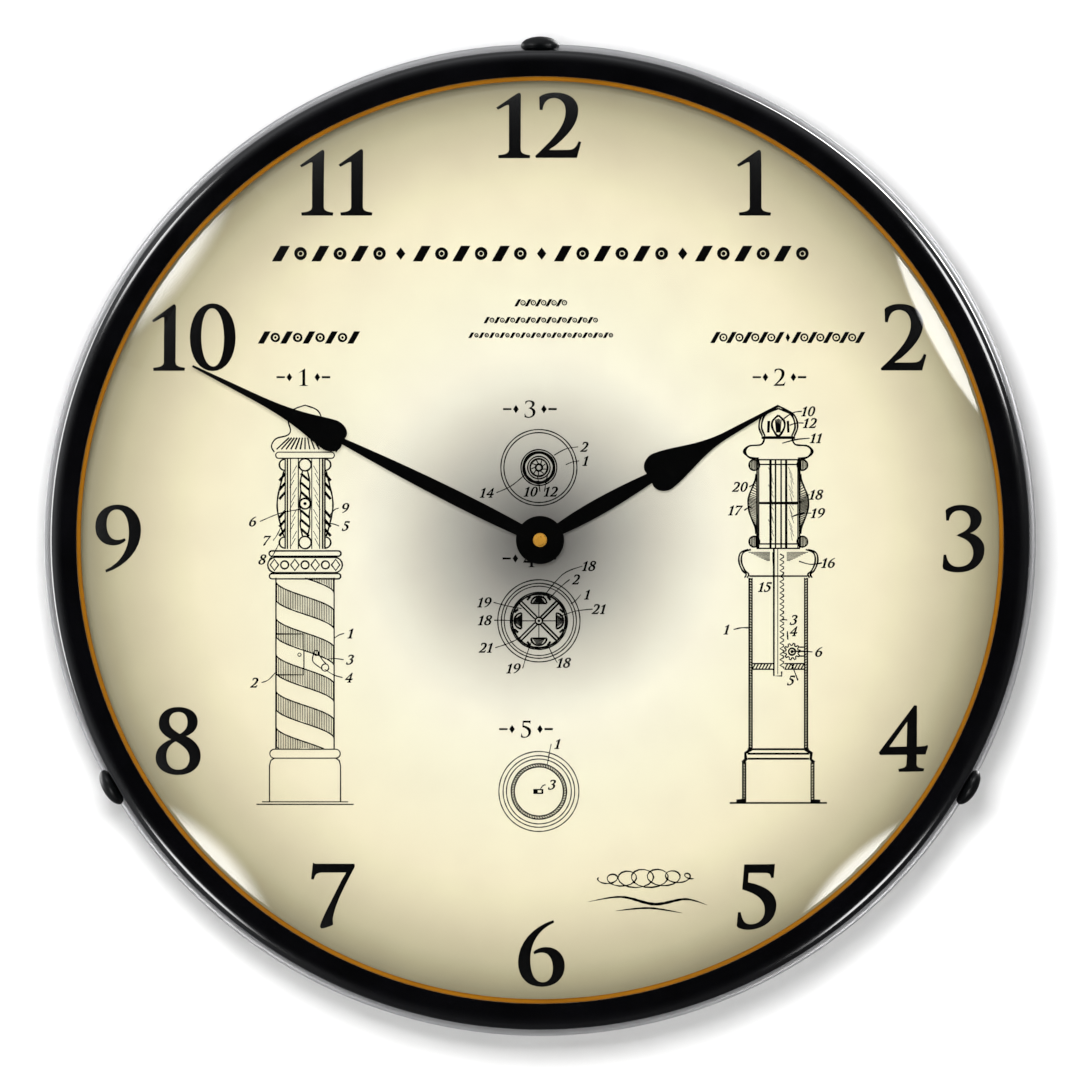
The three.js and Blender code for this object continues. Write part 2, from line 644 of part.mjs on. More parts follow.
/** From the rotor to the centre wheel: each wheel's small pinion reaches into its neighbour's layer. */
function goingTrain() {
  const centre = wheelAt(centreGear, 2, [circle(0, 0, MINUTE_ARBOR_R + 0.1, 12)]);
  const third = join(
    wheelAt(thirdGear, 3),
    gearBetween(thirdPinion, LAYER[2] - 0.2, LAYER[3] + 0.5),
    thinRod(ROOM_FRONT + 0.2, BACK_END),
  );
  const seconds = join(
    wheelAt(secondsGear, 4),
    gearBetween(secondsPinion, LAYER[3] - 0.2, LAYER[4] + 0.5),
    rod(0.45, ARBOR_TIP + 0.4, BACK_END, 8),
  );
  const step = join(
    wheelAt(stepGear, 5),
    gearBetween(stepPinion, LAYER[4] - 0.2, LAYER[5] + 0.5),
    thinRod(BRIDGE_BACK + 0.1, BACK_END),
  );
  const rotor = join(
    rod(2.7, LAYER[4] - 0.1, LAYER[4] + LAYER_THICK + 0.1, 16),
    gearBetween(rotorPinion, LAYER[4] + 0.5, LAYER[5] + LAYER_THICK + 0.2),
    thinRod(BRIDGE_BACK + 0.1, BACK_END),
  );
  return [
    piece("centre_wheel", centre, material.brass),
    piece("third_wheel", third, material.gearPlastic, atGear(thirdGear)),
    piece("seconds_wheel", seconds, material.gearPlastic),
    piece("step_wheel", step, material.gearPlastic, atGear(stepGear)),
    piece("rotor", rotor, material.steel, atGear(rotorPinion)),
  ];
}

/** The plate between the going train's wheels, which the rotor and the step wheel stand on. */
function trainBridge() {
  const outline = [[-8, -8], [16, -8], [16, 9], [9, 18], [-6, 18], [-8, 12]];
  const holes = [circle(0, 0, 2.2, 12), circle(thirdGear.x, thirdGear.z, 1, 8)];
  const sheet = plate(outline, BRIDGE_FRONT, BRIDGE_BACK, holes);
  return piece("train_bridge", sheet, material.movementPlastic);
}

// ---- Movement: housing, motor and battery ----------------------------------------------------

const COIL = { x: 1, z: 21.7, y: LAYER[5], length: 24, r: 2.9 };
const BATTERY = { r: 7.1, z: -19.1, y: HOUSING_BACK - 7.1, from: -25.2, to: 24.2 };

/** The cup that holds the wheels, with the threaded bushing that the dial is clamped on. */
function housing() {
  const half = HOUSING / 2;
  const inside = half - HOUSING_WALL;
  const rim = ROOM_BACK - 0.1;
  const cup = join(
    plate(roundedRect(-half, half, -half, half, 3), HOUSING_FRONT, rim),
    rod(BUSHING_R, DIAL_FRONT - 3.4, ROOM_FRONT, 16),
  );
  const wheelRoom = block(-inside, inside, ROOM_FRONT, rim + 1, BAY_TOP + 1.2, inside);
  const batteryBay = block(-inside, inside, ROOM_FRONT, rim + 1, -inside, BAY_TOP);
  const bore = rod(HOUR_TUBE_R + 0.2, DIAL_FRONT - 5, ROOM_FRONT + 1, 16);
  const knobHole = circle(knobGear.x, knobGear.z, 1.9, 12);
  const lid = roundedRect(-half, half, BAY_TOP + 0.1, half, 3);
  const washer = tube(7, BUSHING_R + 0.3, DIAL_BACK + 0.2, HOUSING_FRONT - 0.2, 20);
  const bushingNut = nut(6.2, BUSHING_R + 0.2, DIAL_FRONT - 2.4, DIAL_FRONT - 0.2);
  return [
    piece("movement_front_shell", cut(cup, wheelRoom, batteryBay, bore), material.movementPlastic),
    piece(
      "movement_back_shell",
      plate(lid, ROOM_BACK + 0.1, HOUSING_BACK, [knobHole]),
      material.movementPlastic,
    ),
    piece("dial_washer", washer, material.rubber),
    piece("bushing_nut", bushingNut, material.brass),
  ];
}

/** The stepping motor: a stator round the rotor, its coil and core, and the circuit that drives it. */
function motor() {
  const statorFront = LAYER[4];
  const { x, z } = rotorPinion;
  const stator = plate(
    [[-15, 11], [17, 11], [17, 24.5], [14, 24.5], [14, 18.5], [-12, 18.5], [-12, 24.5], [-15, 24.5]],
    statorFront,
    statorFront + LAYER_THICK,
    [circle(x, z, 3.1, 16)],
  );
  const coil = tube(COIL.r, 2.1, -COIL.length / 2, COIL.length / 2, 16).rotateZ(Math.PI / 2);
  coil.translate(COIL.x, COIL.y, COIL.z);
  const coreFront = statorFront + LAYER_THICK + 0.1;
  const core = block(-14.8, 16.8, coreFront, coreFront + 1, COIL.z - 1.2, COIL.z + 1.2);
  const board = block(11.5, 26.2, ROOM_BACK - 2, ROOM_BACK - 1, -10, 10.8);
  const crystal = rod(1, -3, 3, 10).rotateX(Math.PI / 2).translate(22, ROOM_BACK - 3.2, 3);
  return [
    piece("stator", stator, material.steel),
    piece("coil", coil, material.copper),
    piece("coil_core", core, material.steel),
    piece("circuit_board", board, material.greenBoard),
    piece("quartz_crystal", crystal, material.steel),
  ];
}

/** One AA cell on its side, between two contact strips. */
function batteryParts() {
  const { r, z, y, from, to } = BATTERY;
  const profile = [
    [0, from], [r - 0.6, from], [r, from + 0.6], [r, to - 0.6], [r - 0.6, to],
    [2.6, to], [2.6, to + 1.1], [0, to + 1.1],
  ];
  const cell = turned(profile, 20).rotateZ(-Math.PI / 2);
  const contact = (x0, x1) => block(x0, x1, y - 5.5, y + 5, z - 5, z + 5);
  const wall = HOUSING / 2 - HOUSING_WALL;
  return [
    piece("battery", cell, material.battery, new THREE.Matrix4().makeTranslation(0, y, z)),
    piece("battery_contact_minus", contact(-wall + 0.1, -wall + 0.6), material.steel),
    piece("battery_contact_plus", contact(wall - 0.6, wall - 0.1), material.steel),
  ];
}

// ---- Light -----------------------------------------------------------------------------------

/** The ring-shaped board with its LEDs, which all face the back of the dial. */
function ledBoard() {
  const outer = LED_RING_R + LED_BOARD_HALF_WIDTH;
  const inner = LED_RING_R - LED_BOARD_HALF_WIDTH;
  const ring = tube(outer, inner, BOARD_FRONT, BOARD_BACK, RING_SEGMENTS);
  const half = LED_SIZE / 2;
  const led = block(
    -half, half, BOARD_FRONT - LED_HEIGHT, BOARD_FRONT + 0.5, LED_RING_R - half, LED_RING_R + half,
  );
  const leds = Array.from({ length: LED_COUNT }, (_, i) =>
    led.clone().applyMatrix4(clockwise(((i + 0.5) * 360) / LED_COUNT)),
  );
  const hole = rod(1.9, BOARD_FRONT - 1, BOARD_BACK + 1, 8).translate(0, 0, LED_RING_R);
  const holes = SUPPORT_HOURS.map((hour) => hole.clone().applyMatrix4(clockwise(hour * 30)));
  return piece("led_board", cut(join(ring, ...leds), ...holes), material.whiteBoard);
}

/** The nylon posts that the board snaps onto. */
function boardSupports() {
  const profile = [
    [0, CASE_INSIDE - 0.2], [4, CASE_INSIDE - 0.2], [3, BOARD_BACK + 0.2], [1.6, BOARD_BACK + 0.2],
    [1.6, BOARD_FRONT - 0.2], [2.5, BOARD_FRONT - 0.2], [1, BOARD_FRONT - 2.2], [0, BOARD_FRONT - 2.2],
  ];
  return SUPPORT_HOURS.map((hour, i) =>
    piece(
      `board_support_${i + 1}`,
      turned(profile, 10),
      material.whitePlastic,
      clockwise(hour * 30).multiply(at(0, LED_RING_R)),
    ),
  );
}

/** The power socket: a barrel with a centre pin, its flange outside and its nut inside the slope. */
function powerJack() {
  const barrel = turned([
    [0, -JACK_DEPTH], [JACK_BODY_R - 0.4, -JACK_DEPTH], [JACK_BODY_R - 0.1, 0.3], [7.2, 0.3], [7.2, 1.5],
    [6.6, 2], [3.15, 2], [3.15, -8], [1, -8], [1, 0.6], [0.5, 1.2], [0, 1.2],
  ], 20);
  const jackNut = nut(8, JACK_BODY_R + 0.2, -SHEET - 3.2, -SHEET - 0.5);
  return [
    piece("power_jack", barrel, material.blackPlastic, onSlope(JACK_HOUR)),
    piece("jack_nut", jackNut, material.steel, onSlope(JACK_HOUR)),
  ];
}

/** The power switch: a snap-in frame, and a rocker that tips about an axis across its short side. */
function powerSwitch() {
  const { x, z } = SWITCH_BODY;
  const frame = cut(
    join(
      block(-x / 2, x / 2, -SWITCH_DEPTH, 1, -z / 2, z / 2),
      block(-x / 2 - 1.2, x / 2 + 1.2, 0.35, 1.9, -z / 2 - 1.2, z / 2 + 1.2),
    ),
    block(-x / 2 + 1.1, x / 2 - 1.1, -4.6, 3, -z / 2 + 1.1, z / 2 - 1.1),
  );
  const reach = z / 2 - 1.75;
  const rockerSide = [
    [-reach, -1.2], [0, -2.6], [reach, -1.2], [reach, 1.9], [0, 1], [-reach, 1.9],
  ];
  const shape = new THREE.Shape(rockerSide.map(([along, up]) => new THREE.Vector2(along, up)));
  const width = x - 3;
  const rocker = new THREE.ExtrudeGeometry(shape, { depth: width, bevelEnabled: false });
  // The outline's own axes become the slope's length and its outward direction.
  rocker.translate(0, 0, -width / 2).rotateY(-Math.PI / 2).rotateX(ROCKER_TILT * DEG);
  return [
    piece("switch_frame", frame, material.blackPlastic, onSlope(SWITCH_HOUR)),
    piece(
      "switch_rocker",
      rocker,
      material.red,
      onSlope(SWITCH_HOUR).multiply(new THREE.Matrix4().makeTranslation(0, ROCKER_PIVOT, 0)),
    ),
  ];
}

/** An insulated lead along a smooth curve through points in the clock's own axes. */
function lead(name, look, points) {
  const path = new THREE.CatmullRomCurve3(points.map((p) => new THREE.Vector3(...p)));
  const section = new THREE.Shape(circle(0, 0, LEAD_R, 8).map(([x, y]) => new THREE.Vector2(x, y)));
  const steps = Math.round(path.getLength() / (5 * LEAD_R));
  const geometry = new THREE.ExtrudeGeometry(section, { extrudePath: path, steps, bevelEnabled: false });
  return piece(name, geometry, look);
}

/** A point given in the axes of the slope at an hour, in the clock's own axes. */
const slopePoint = (hour, x, y, z) =>
  new THREE.Vector3(x, y, z).applyMatrix4(onSlope(hour)).toArray();

/** Power goes from the socket through the switch to the LED board, and straight back. */
function leads() {
  const jackEnd = -JACK_DEPTH - GAP;
  const switchEnd = -SWITCH_DEPTH - GAP;
  const boardY = BOARD_FRONT - LED_HEIGHT;
  return [
    lead("lead_jack_to_switch", material.red, [
      slopePoint(JACK_HOUR, 2.4, jackEnd, 0),
      slopePoint(JACK_HOUR, 2.6, jackEnd - 4, 0),
      slopePoint(6.03, 0, jackEnd - 8, 0),
      slopePoint(SWITCH_HOUR, -2.2, switchEnd - 4, 3),
      slopePoint(SWITCH_HOUR, -2, switchEnd, 3),
    ]),
    lead("lead_switch_to_board", material.red, [
      slopePoint(SWITCH_HOUR, 1.5, switchEnd, -3),
      slopePoint(SWITCH_HOUR, 2, switchEnd - 5, -4),
      [8, boardY - 9, -128],
      [6, boardY - 7, -116],
      [5, boardY - 0.2, -109],
    ]),
    lead("lead_jack_to_board", material.blackPlastic, [
      slopePoint(JACK_HOUR, -2.4, jackEnd, 0),
      slopePoint(JACK_HOUR, -3, jackEnd - 5, -2),
      [-12, boardY - 9, -128],
      [-7, boardY - 7, -116],
      [-5, boardY - 0.2, -109],
    ]),
  ];
}

// ---- Assembly --------------------------------------------------------------------------------

const clock = new THREE.Group();
clock.add(casePan(), hangerPlate(), ...hangerRivets(), ...wallBumpers(), rearCover());
clock.add(bezel(), glassBead(), glass(), ...rings(), dialPanel(), ...thumbScrews(), ...hands());
clock.add(...housing(), ...motionWork(), ...goingTrain(), trainBridge());
clock.add(...motor(), ...batteryParts());
clock.add(ledBoard(), ...boardSupports(), ...powerJack(), ...powerSwitch(), ...leads());
clock.position.z = -HANG_HEIGHT; // the origin is on the wall, on the axis of the screw it hangs on

export default clock;
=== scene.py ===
import json
import math
import re
from functools import partial

import bmesh
import bpy
from mathutils import Matrix, Vector
from mathutils.geometry import tessellate_polygon


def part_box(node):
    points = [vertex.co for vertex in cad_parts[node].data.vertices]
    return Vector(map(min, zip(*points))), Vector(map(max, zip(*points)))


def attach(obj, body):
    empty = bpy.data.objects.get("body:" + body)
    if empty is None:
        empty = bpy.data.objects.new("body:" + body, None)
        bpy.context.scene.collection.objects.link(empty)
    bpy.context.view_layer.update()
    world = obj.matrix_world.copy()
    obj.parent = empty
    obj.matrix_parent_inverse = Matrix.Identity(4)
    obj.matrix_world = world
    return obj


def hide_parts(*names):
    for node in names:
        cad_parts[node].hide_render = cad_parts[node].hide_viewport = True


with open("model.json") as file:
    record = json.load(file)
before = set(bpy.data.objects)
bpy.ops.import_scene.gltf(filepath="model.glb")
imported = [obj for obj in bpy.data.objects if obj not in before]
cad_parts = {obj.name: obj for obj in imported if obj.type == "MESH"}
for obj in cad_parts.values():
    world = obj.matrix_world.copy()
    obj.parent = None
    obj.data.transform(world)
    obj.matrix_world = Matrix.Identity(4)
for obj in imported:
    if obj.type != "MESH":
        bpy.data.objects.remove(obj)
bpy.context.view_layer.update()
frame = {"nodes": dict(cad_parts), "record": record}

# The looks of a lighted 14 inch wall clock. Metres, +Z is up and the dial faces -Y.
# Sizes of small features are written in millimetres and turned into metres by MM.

MM = 0.001
TURN = 2 * math.pi

# ---- Places that the frame gives -------------------------------------------------------------

DIAL_LOW, DIAL_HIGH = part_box("dial_panel")
CENTRE_Z = (DIAL_LOW.z + DIAL_HIGH.z) / 2
DIAL_FRONT = DIAL_LOW.y
CENTRE = Matrix.Translation((0, 0, CENTRE_Z))
SCREW_HOURS = (12, 4, 8)

# ---- Mesh tools ------------------------------------------------------------------------------

FINE = 192  # segments round the big turned parts
RIM_SEGMENTS = 256  # segments round the rim that the front view shows largest
TURNED = 64  # segments round nuts, screws and other small turned pieces
WELD = 1e-6  # metres within which two vertices become one
ON_AXIS = 1e-7  # metres from the axis under which an outline's point is on it
SMOOTH_ANGLE = 35  # degrees up to which an edge is shaded smooth
DEGREES_PER_HOUR = 30


def add_object(name, data):
    """A new object in the scene, made of a mesh, a light or a camera."""
    made = bpy.data.objects.new(name, data)
    bpy.context.scene.collection.objects.link(made)
    return made


def span(node):
    """A round node's radius, and the depths of its front and back, in millimetres."""
    low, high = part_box(node)
    return (high.x - low.x) / 2 / MM, low.y / MM, high.y / MM


def finish_mesh(name, verts, faces, place=CENTRE):
    """A new object from vertices and faces, welded, facing out and smoothly shaded."""
    mesh = bpy.data.meshes.new(name)
    mesh.from_pydata(verts, [], faces)
    mesh.transform(place)
    work = bmesh.new()
    work.from_mesh(mesh)
    bmesh.ops.remove_doubles(work, verts=work.verts, dist=WELD)
    bmesh.ops.recalc_face_normals(work, faces=work.faces)
    work.to_mesh(mesh)
    work.free()
    mesh.shade_smooth()
    mesh.set_sharp_from_angle(angle=math.radians(SMOOTH_ANGLE))
    return add_object(name, mesh)


def rounded(points, steps=4):
    """A closed outline in metres from (a, b) or (a, b, corner radius) points in millimetres."""
    edge_share = 0.49  # the most of an edge that the corner at one of its ends may take
    result = []
    for i, point in enumerate(points):
        corner = Vector(point[:2])
        radius = point[2] if len(point) > 2 else 0
        if not radius:
            result.append(corner * MM)
            continue
        before = Vector(points[i - 1][:2]) - corner
        after = Vector(points[(i + 1) % len(points)][:2]) - corner
        half = before.angle(after) / 2
        reach = min(radius / math.tan(half), before.length * edge_share, after.length * edge_share)
        start = corner + before.normalized() * reach
        end = corner + after.normalized() * reach
        for step in range(steps + 1):
            t = step / steps
            bend = start.lerp(corner, t).lerp(corner.lerp(end, t), t)
            result.append(bend * MM)
    return result


def lathe(name, outline, segments=FINE, place=CENTRE):
    """A closed outline of (radius, y) vectors in metres, turned round the Y axis."""
    verts, rings = [], []
    for radius, y in outline:
        if radius < ON_AXIS:
            rings.append([len(verts)] * segments)
            verts.append((0, y, 0))
            continue
        rings.append(list(range(len(verts), len(verts) + segments)))
        for k in range(segments):
            a = TURN * k / segments
            verts.append((radius * math.sin(a), y, radius * math.cos(a)))
    faces = []
    for i, ring in enumerate(rings):
        other = rings[(i + 1) % len(rings)]
        for k in range(segments):
            following = (k + 1) % segments
            corners = [ring[k], ring[following], other[following], other[k]]
            unique = list(dict.fromkeys(corners))
            if len(unique) > 2:
                faces.append(unique)
    return finish_mesh(name, verts, faces, place)


def prism(name, outline, front, back, place=CENTRE):
    """A flat plate with an outline of (x, z) vectors in metres, between two depths."""
    count = len(outline)
    verts = [(x, y, z) for y in (front, back) for x, z in outline]
    faces = [list(range(count)), list(range(count, 2 * count))]
    for i in range(count):
        j = (i + 1) % count
        faces.append([i, j, count + j, count + i])
    return finish_mesh(name, verts, faces, place)


def polar(radius, angle):
    """The point at a distance from the middle and an angle counter-clockwise from the right."""
    return Vector((radius * math.cos(angle), radius * math.sin(angle)))


def circle(radius, segments, x=0.0, z=0.0):
    """Points on a circle, in the units of its radius."""
    return [Vector((x, z)) + polar(radius, TURN * k / segments) for k in range(segments)]


def box_outline(half_x, half_z, radius, x=0.0, z=0.0):
    """A rectangle with round corners, in metres from millimetres."""
    corners = [(1, 1), (-1, 1), (-1, -1), (1, -1)]
    return rounded([(x + sx * half_x, z + sz * half_z, radius) for sx, sz in corners])


def cut(target, *cutters):
    """Cuts the cutters out of an object's mesh, and removes them."""
    for cutter in cutters:
        step = target.modifiers.new("cut", "BOOLEAN")
        step.object = cutter
        step.solver = "EXACT"
    solved = target.evaluated_get(bpy.context.evaluated_depsgraph_get())
    mesh = bpy.data.meshes.new_from_object(solved)
    target.modifiers.clear()
    target.data = mesh
    for cutter in cutters:
        bpy.data.objects.remove(cutter)
    mesh.set_sharp_from_angle(angle=math.radians(SMOOTH_ANGLE))


def soften(target, width, segments=2):
    """Rounds an object's sharp edges with a bevel modifier."""
    bevel = target.modifiers.new("edges", "BEVEL")
    bevel.width = width * MM
    bevel.segments = segments
    bevel.limit_method = "ANGLE"
    bevel.angle_limit = math.radians(40)
    bevel.harden_normals = True


def clockwise(degrees):
    """Turns what is at 12 o'clock to an angle clockwise from it, seen from the front."""
    return Matrix.Rotation(math.radians(degrees), 4, "Y")


def radial(hour, y):
    """Stands what is built along Y out along the radius at an hour, at one depth."""
    outwards = Matrix.Rotation(math.pi / 2, 4, "X")
    return CENTRE @ clockwise(hour * DEGREES_PER_HOUR) @ Matrix.Translation((0, y, 0)) @ outwards


def paint(piece, material):
    piece.data.materials.clear()
    piece.data.materials.append(material)


def present(piece, slot, node, body="clock"):
    """Paints a piece as its slot asks, gives it its body, and hides the CAD node it stands for."""
    paint(piece, MATERIAL[slot])
    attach(piece, body)
    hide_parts(node)


# ---- Material tools --------------------------------------------------------------------------


def linear(code):
    """A linear RGBA colour from an sRGB hex code."""
    parts = [int(code[i:i + 2], 16) / 255 for i in (1, 3, 5)]
    return tuple(c / 12.92 if c <= 0.04045 else ((c + 0.055) / 1.055) ** 2.4 for c in parts) + (1.0,)


def add_node(tree, kind, inputs=None, **settings):
    """A new node. An input is a value, or another node's socket to link it to."""
    made = tree.nodes.new(kind)
    for key, value in settings.items():
        setattr(made, key, value)
    for key, value in (inputs or {}).items():
        connect(tree, value, made.inputs[key])
    return made


def connect(tree, value, socket):
    if isinstance(value, bpy.types.NodeSocket):
        tree.links.new(value, socket)
    else:
        socket.default_value = value


NOISE_LOW, NOISE_HIGH = 0.3, 0.7  # the range that a noise keeps to nearly everywhere


class Shader:
    """A node material with a Principled BSDF, and short calls that add and link nodes."""

    def __init__(self, name):
        self.material = bpy.data.materials.new(name)
        self.material.use_nodes = True
        self.tree = self.material.node_tree
        self.bsdf = self.tree.nodes["Principled BSDF"]
        self.add = partial(add_node, self.tree)
        self.place = self.add("ShaderNodeTexCoord").outputs["Object"]

    def set(self, **values):
        for key, value in values.items():
            connect(self.tree, value, self.bsdf.inputs[key.replace("_", " ")])

    def show(self, node):
        """Makes a node the surface, in place of the Principled BSDF."""
        self.tree.links.new(node.outputs[0], self.tree.nodes["Material Output"].inputs["Surface"])

    def noise(self, scale, detail=4.0, stretch=(1, 1, 1)):
        at = self.add("ShaderNodeMapping", {"Vector": self.place, "Scale": stretch}).outputs[0]
        return self.add("ShaderNodeTexNoise", {"Vector": at, "Scale": scale, "Detail": detail}).outputs[0]

    def spread(self, value, low, high):
        """Maps the middle of a noise's range onto low to high."""
        return self.add("ShaderNodeMapRange", {"Value": value, "From Min": NOISE_LOW, "From Max": NOISE_HIGH,
                                               "To Min": low, "To Max": high}).outputs[0]

    def ramp(self, value, stops):
        made = self.add("ShaderNodeValToRGB", {"Fac": value})
        band = made.color_ramp
        while len(band.elements) < len(stops):
            band.elements.new(0.5)
        for element, (position, colour) in zip(band.elements, stops):
            element.position = position
            element.color = colour
        return made.outputs["Color"]

    def wander(self, value, low, high):
        """A colour that goes from low to high with a noise's value."""
        return self.ramp(value, [(NOISE_LOW, low), (NOISE_HIGH, high)])

    def multiply(self, first, second):
        """The product of two colours. A colour mix has them at inputs 6 and 7, and its result at output 2."""
        how = {"data_type": "RGBA", "blend_type": "MULTIPLY"}
        return self.add("ShaderNodeMix", {0: 1.0, 6: first, 7: second}, **how).outputs[2]

    def bump(self, height, strength, distance):
        made = self.add("ShaderNodeBump", {"Height": height, "Strength": strength, "Distance": distance * MM})
        return made.outputs[0]

    def distance(self, value, middle):
        return self.add("ShaderNodeVectorMath", {0: value, 1: middle}, operation="DISTANCE").outputs["Value"]

    def math(self, operation, first, second):
        return self.add("ShaderNodeMath", {0: first, 1: second}, operation=operation).outputs[0]


def shade(colour, factor):
    return tuple(min(1.0, c * factor) for c in colour[:3]) + (1.0,)


def uneven(name, low, high, tone_scale, gloss_scale, gloss, grain=None, **extra):
    """A colour that wanders from low to high and a gloss that wanders between two roughnesses, each at
    its own scale. A grain is (scale, detail, strength, depth in millimetres)."""
    s = Shader(name)
    s.set(
        Base_Color=s.wander(s.noise(tone_scale), low, high),
        Roughness=s.spread(s.noise(gloss_scale), *gloss),
        **extra,
    )
    if grain:
        scale, detail, strength, depth = grain
        s.set(Normal=s.bump(s.noise(scale, detail), strength, depth))
    return s.material


def plain(name, code, roughness, tint=0.12, scale=90.0, grain=0.0, grain_scale=900.0, **extra):
    """One colour with an uneven tone and gloss, and a fine grain where one is given."""
    dark, light = (shade(linear(code), factor) for factor in (1 - tint, 1 + tint))
    gloss = (roughness * 0.85, min(1.0, roughness * 1.15))
    fine = (grain_scale, 2.0, grain, 0.05) if grain else None
    return uneven(name, dark, light, scale, scale * 1.7, gloss, fine, **extra)


def spun_aluminium():
    """Satin metal with the fine rings that spinning and brushing on a lathe leave."""
    s = Shader("spun_aluminium")
    axis = s.add("ShaderNodeSeparateXYZ", {"Vector": s.place})
    across = s.add("ShaderNodeCombineXYZ", {"X": axis.outputs["X"], "Z": axis.outputs["Z"]})
    tool_path = s.math("ADD", s.distance(across.outputs[0], (0, 0, CENTRE_Z)),
                       s.math("MULTIPLY", axis.outputs["Y"], 1.7))
    rings = s.add("ShaderNodeTexNoise", {"W": tool_path, "Scale": 2600.0, "Detail": 3.0},
                  noise_dimensions="1D").outputs[0]
    colour = linear("#b6b6b8")
    s.set(
        Base_Color=s.wander(s.noise(12.0), shade(colour, 0.93), shade(colour, 1.03)),
        Roughness=s.spread(rings, 0.42, 0.52),
        Metallic=0.5,
        Normal=s.bump(rings, 0.12, 0.05),
    )
    return s.material


def clear_glass():
    """Slumped soda glass, with barely visible waviness."""
    s = Shader("clear_glass")
    s.set(
        Base_Color=linear("#fbfdfc"),
        Roughness=0.0,
        IOR=1.48,
        Transmission_Weight=1.0,
        Normal=s.bump(s.noise(9.0, 1.0), 0.015, 1.0),
    )
    return s.material


# Tone of the dial by radius in millimetres: the print's cream, darkening to olive towards the rim as painted
# shade where the backlight falls off.
RIM_SHADE_TONES = [
    (0, "#fbf5df"), (66, "#fbf5df"), (79, "#faf4da"), (93, "#f9f2d5"), (107, "#f9f0d1"), (122, "#f6ebca"),
    (129, "#efe5c2"), (136, "#e5dab9"), (143, "#d9ceae"), (151, "#cbc2a1"), (158, "#b2a98a"),
    (163, "#9a9378"), (172, "#857f66"),
]
# Painted shadow of the movement: the soft grey darkening round the arbor where the movement behind the dial
# blocks the backlight.
MOVEMENT_SHADOW_TONES = [
    (0, "#6c6d75"), (10, "#76777f"), (18, "#8e8f97"), (32, "#b8b9c0"), (46, "#dcdce0"), (58, "#f4f5f8"),
    (66, "#ffffff"), (172, "#ffffff"),
]
DIAL_REACH = 172.0
DIAL_WHITE = 0.955  # what bare print gives back, glow and scattered light together
DIAL_GLOW = 0.3


def opal_dial():
    """Printed opal acrylic: it glows a little, and scatters the rest of the light that falls on it. Its tone
    and its glow darken towards the rim and round the middle: painted shade, and a painted shadow of the
    movement.
    """
    s = Shader("opal_dial")
    share = s.math("MULTIPLY", s.distance(s.place, (0, DIAL_FRONT, CENTRE_Z)), 1 / (DIAL_REACH * MM))
    rim, movement_shadow = (s.ramp(share, [(mm / DIAL_REACH, linear(code)) for mm, code in stops])
                  for stops in (RIM_SHADE_TONES, MOVEMENT_SHADOW_TONES))
    # The print's cream times the painted rim shade and the painted shadow of the movement.
    print_and_shade = s.multiply(rim, movement_shadow)
    mottle = s.noise(55.0)

    def mottled(level):
        tones = (shade(colour, level) for colour in ((0.95, 0.94, 0.95), (1, 1, 1)))
        return s.multiply(print_and_shade, s.wander(mottle, *tones))

    s.set(
        Base_Color=mottled(DIAL_WHITE - DIAL_GLOW),
        Emission_Color=mottled(1),
        Emission_Strength=DIAL_GLOW,
        Roughness=s.spread(s.noise(300.0), 0.5, 0.6),
        Specular_IOR_Level=0.04,
        Normal=s.bump(s.noise(1500.0, 2.0), 0.04, 0.03),
    )
    return s.material


def dial_ink():
    """Screen-printed black ink."""
    s = Shader("dial_ink")
    s.set(
        Base_Color=s.ramp(s.noise(1300.0, 2.0), [(0.25, linear("#010101")), (0.8, linear("#050505"))]),
        Roughness=s.spread(s.noise(500.0), 0.55, 0.7),
        Specular_IOR_Level=0.01,
    )
    return s.material


def brushed(name, code, roughness, stretch, metallic=1.0):
    """Plated or polished metal with fine scratches along one direction."""
    s = Shader(name)
    colour = linear(code)
    scratch = s.noise(500.0, 3.0, stretch)
    s.set(
        Base_Color=s.wander(s.noise(80.0), shade(colour, 0.88), shade(colour, 1.06)),
        Roughness=s.spread(scratch, roughness * 0.75, roughness * 1.3),
        Metallic=metallic,
        Normal=s.bump(scratch, 0.1, 0.05),
    )
    return s.material


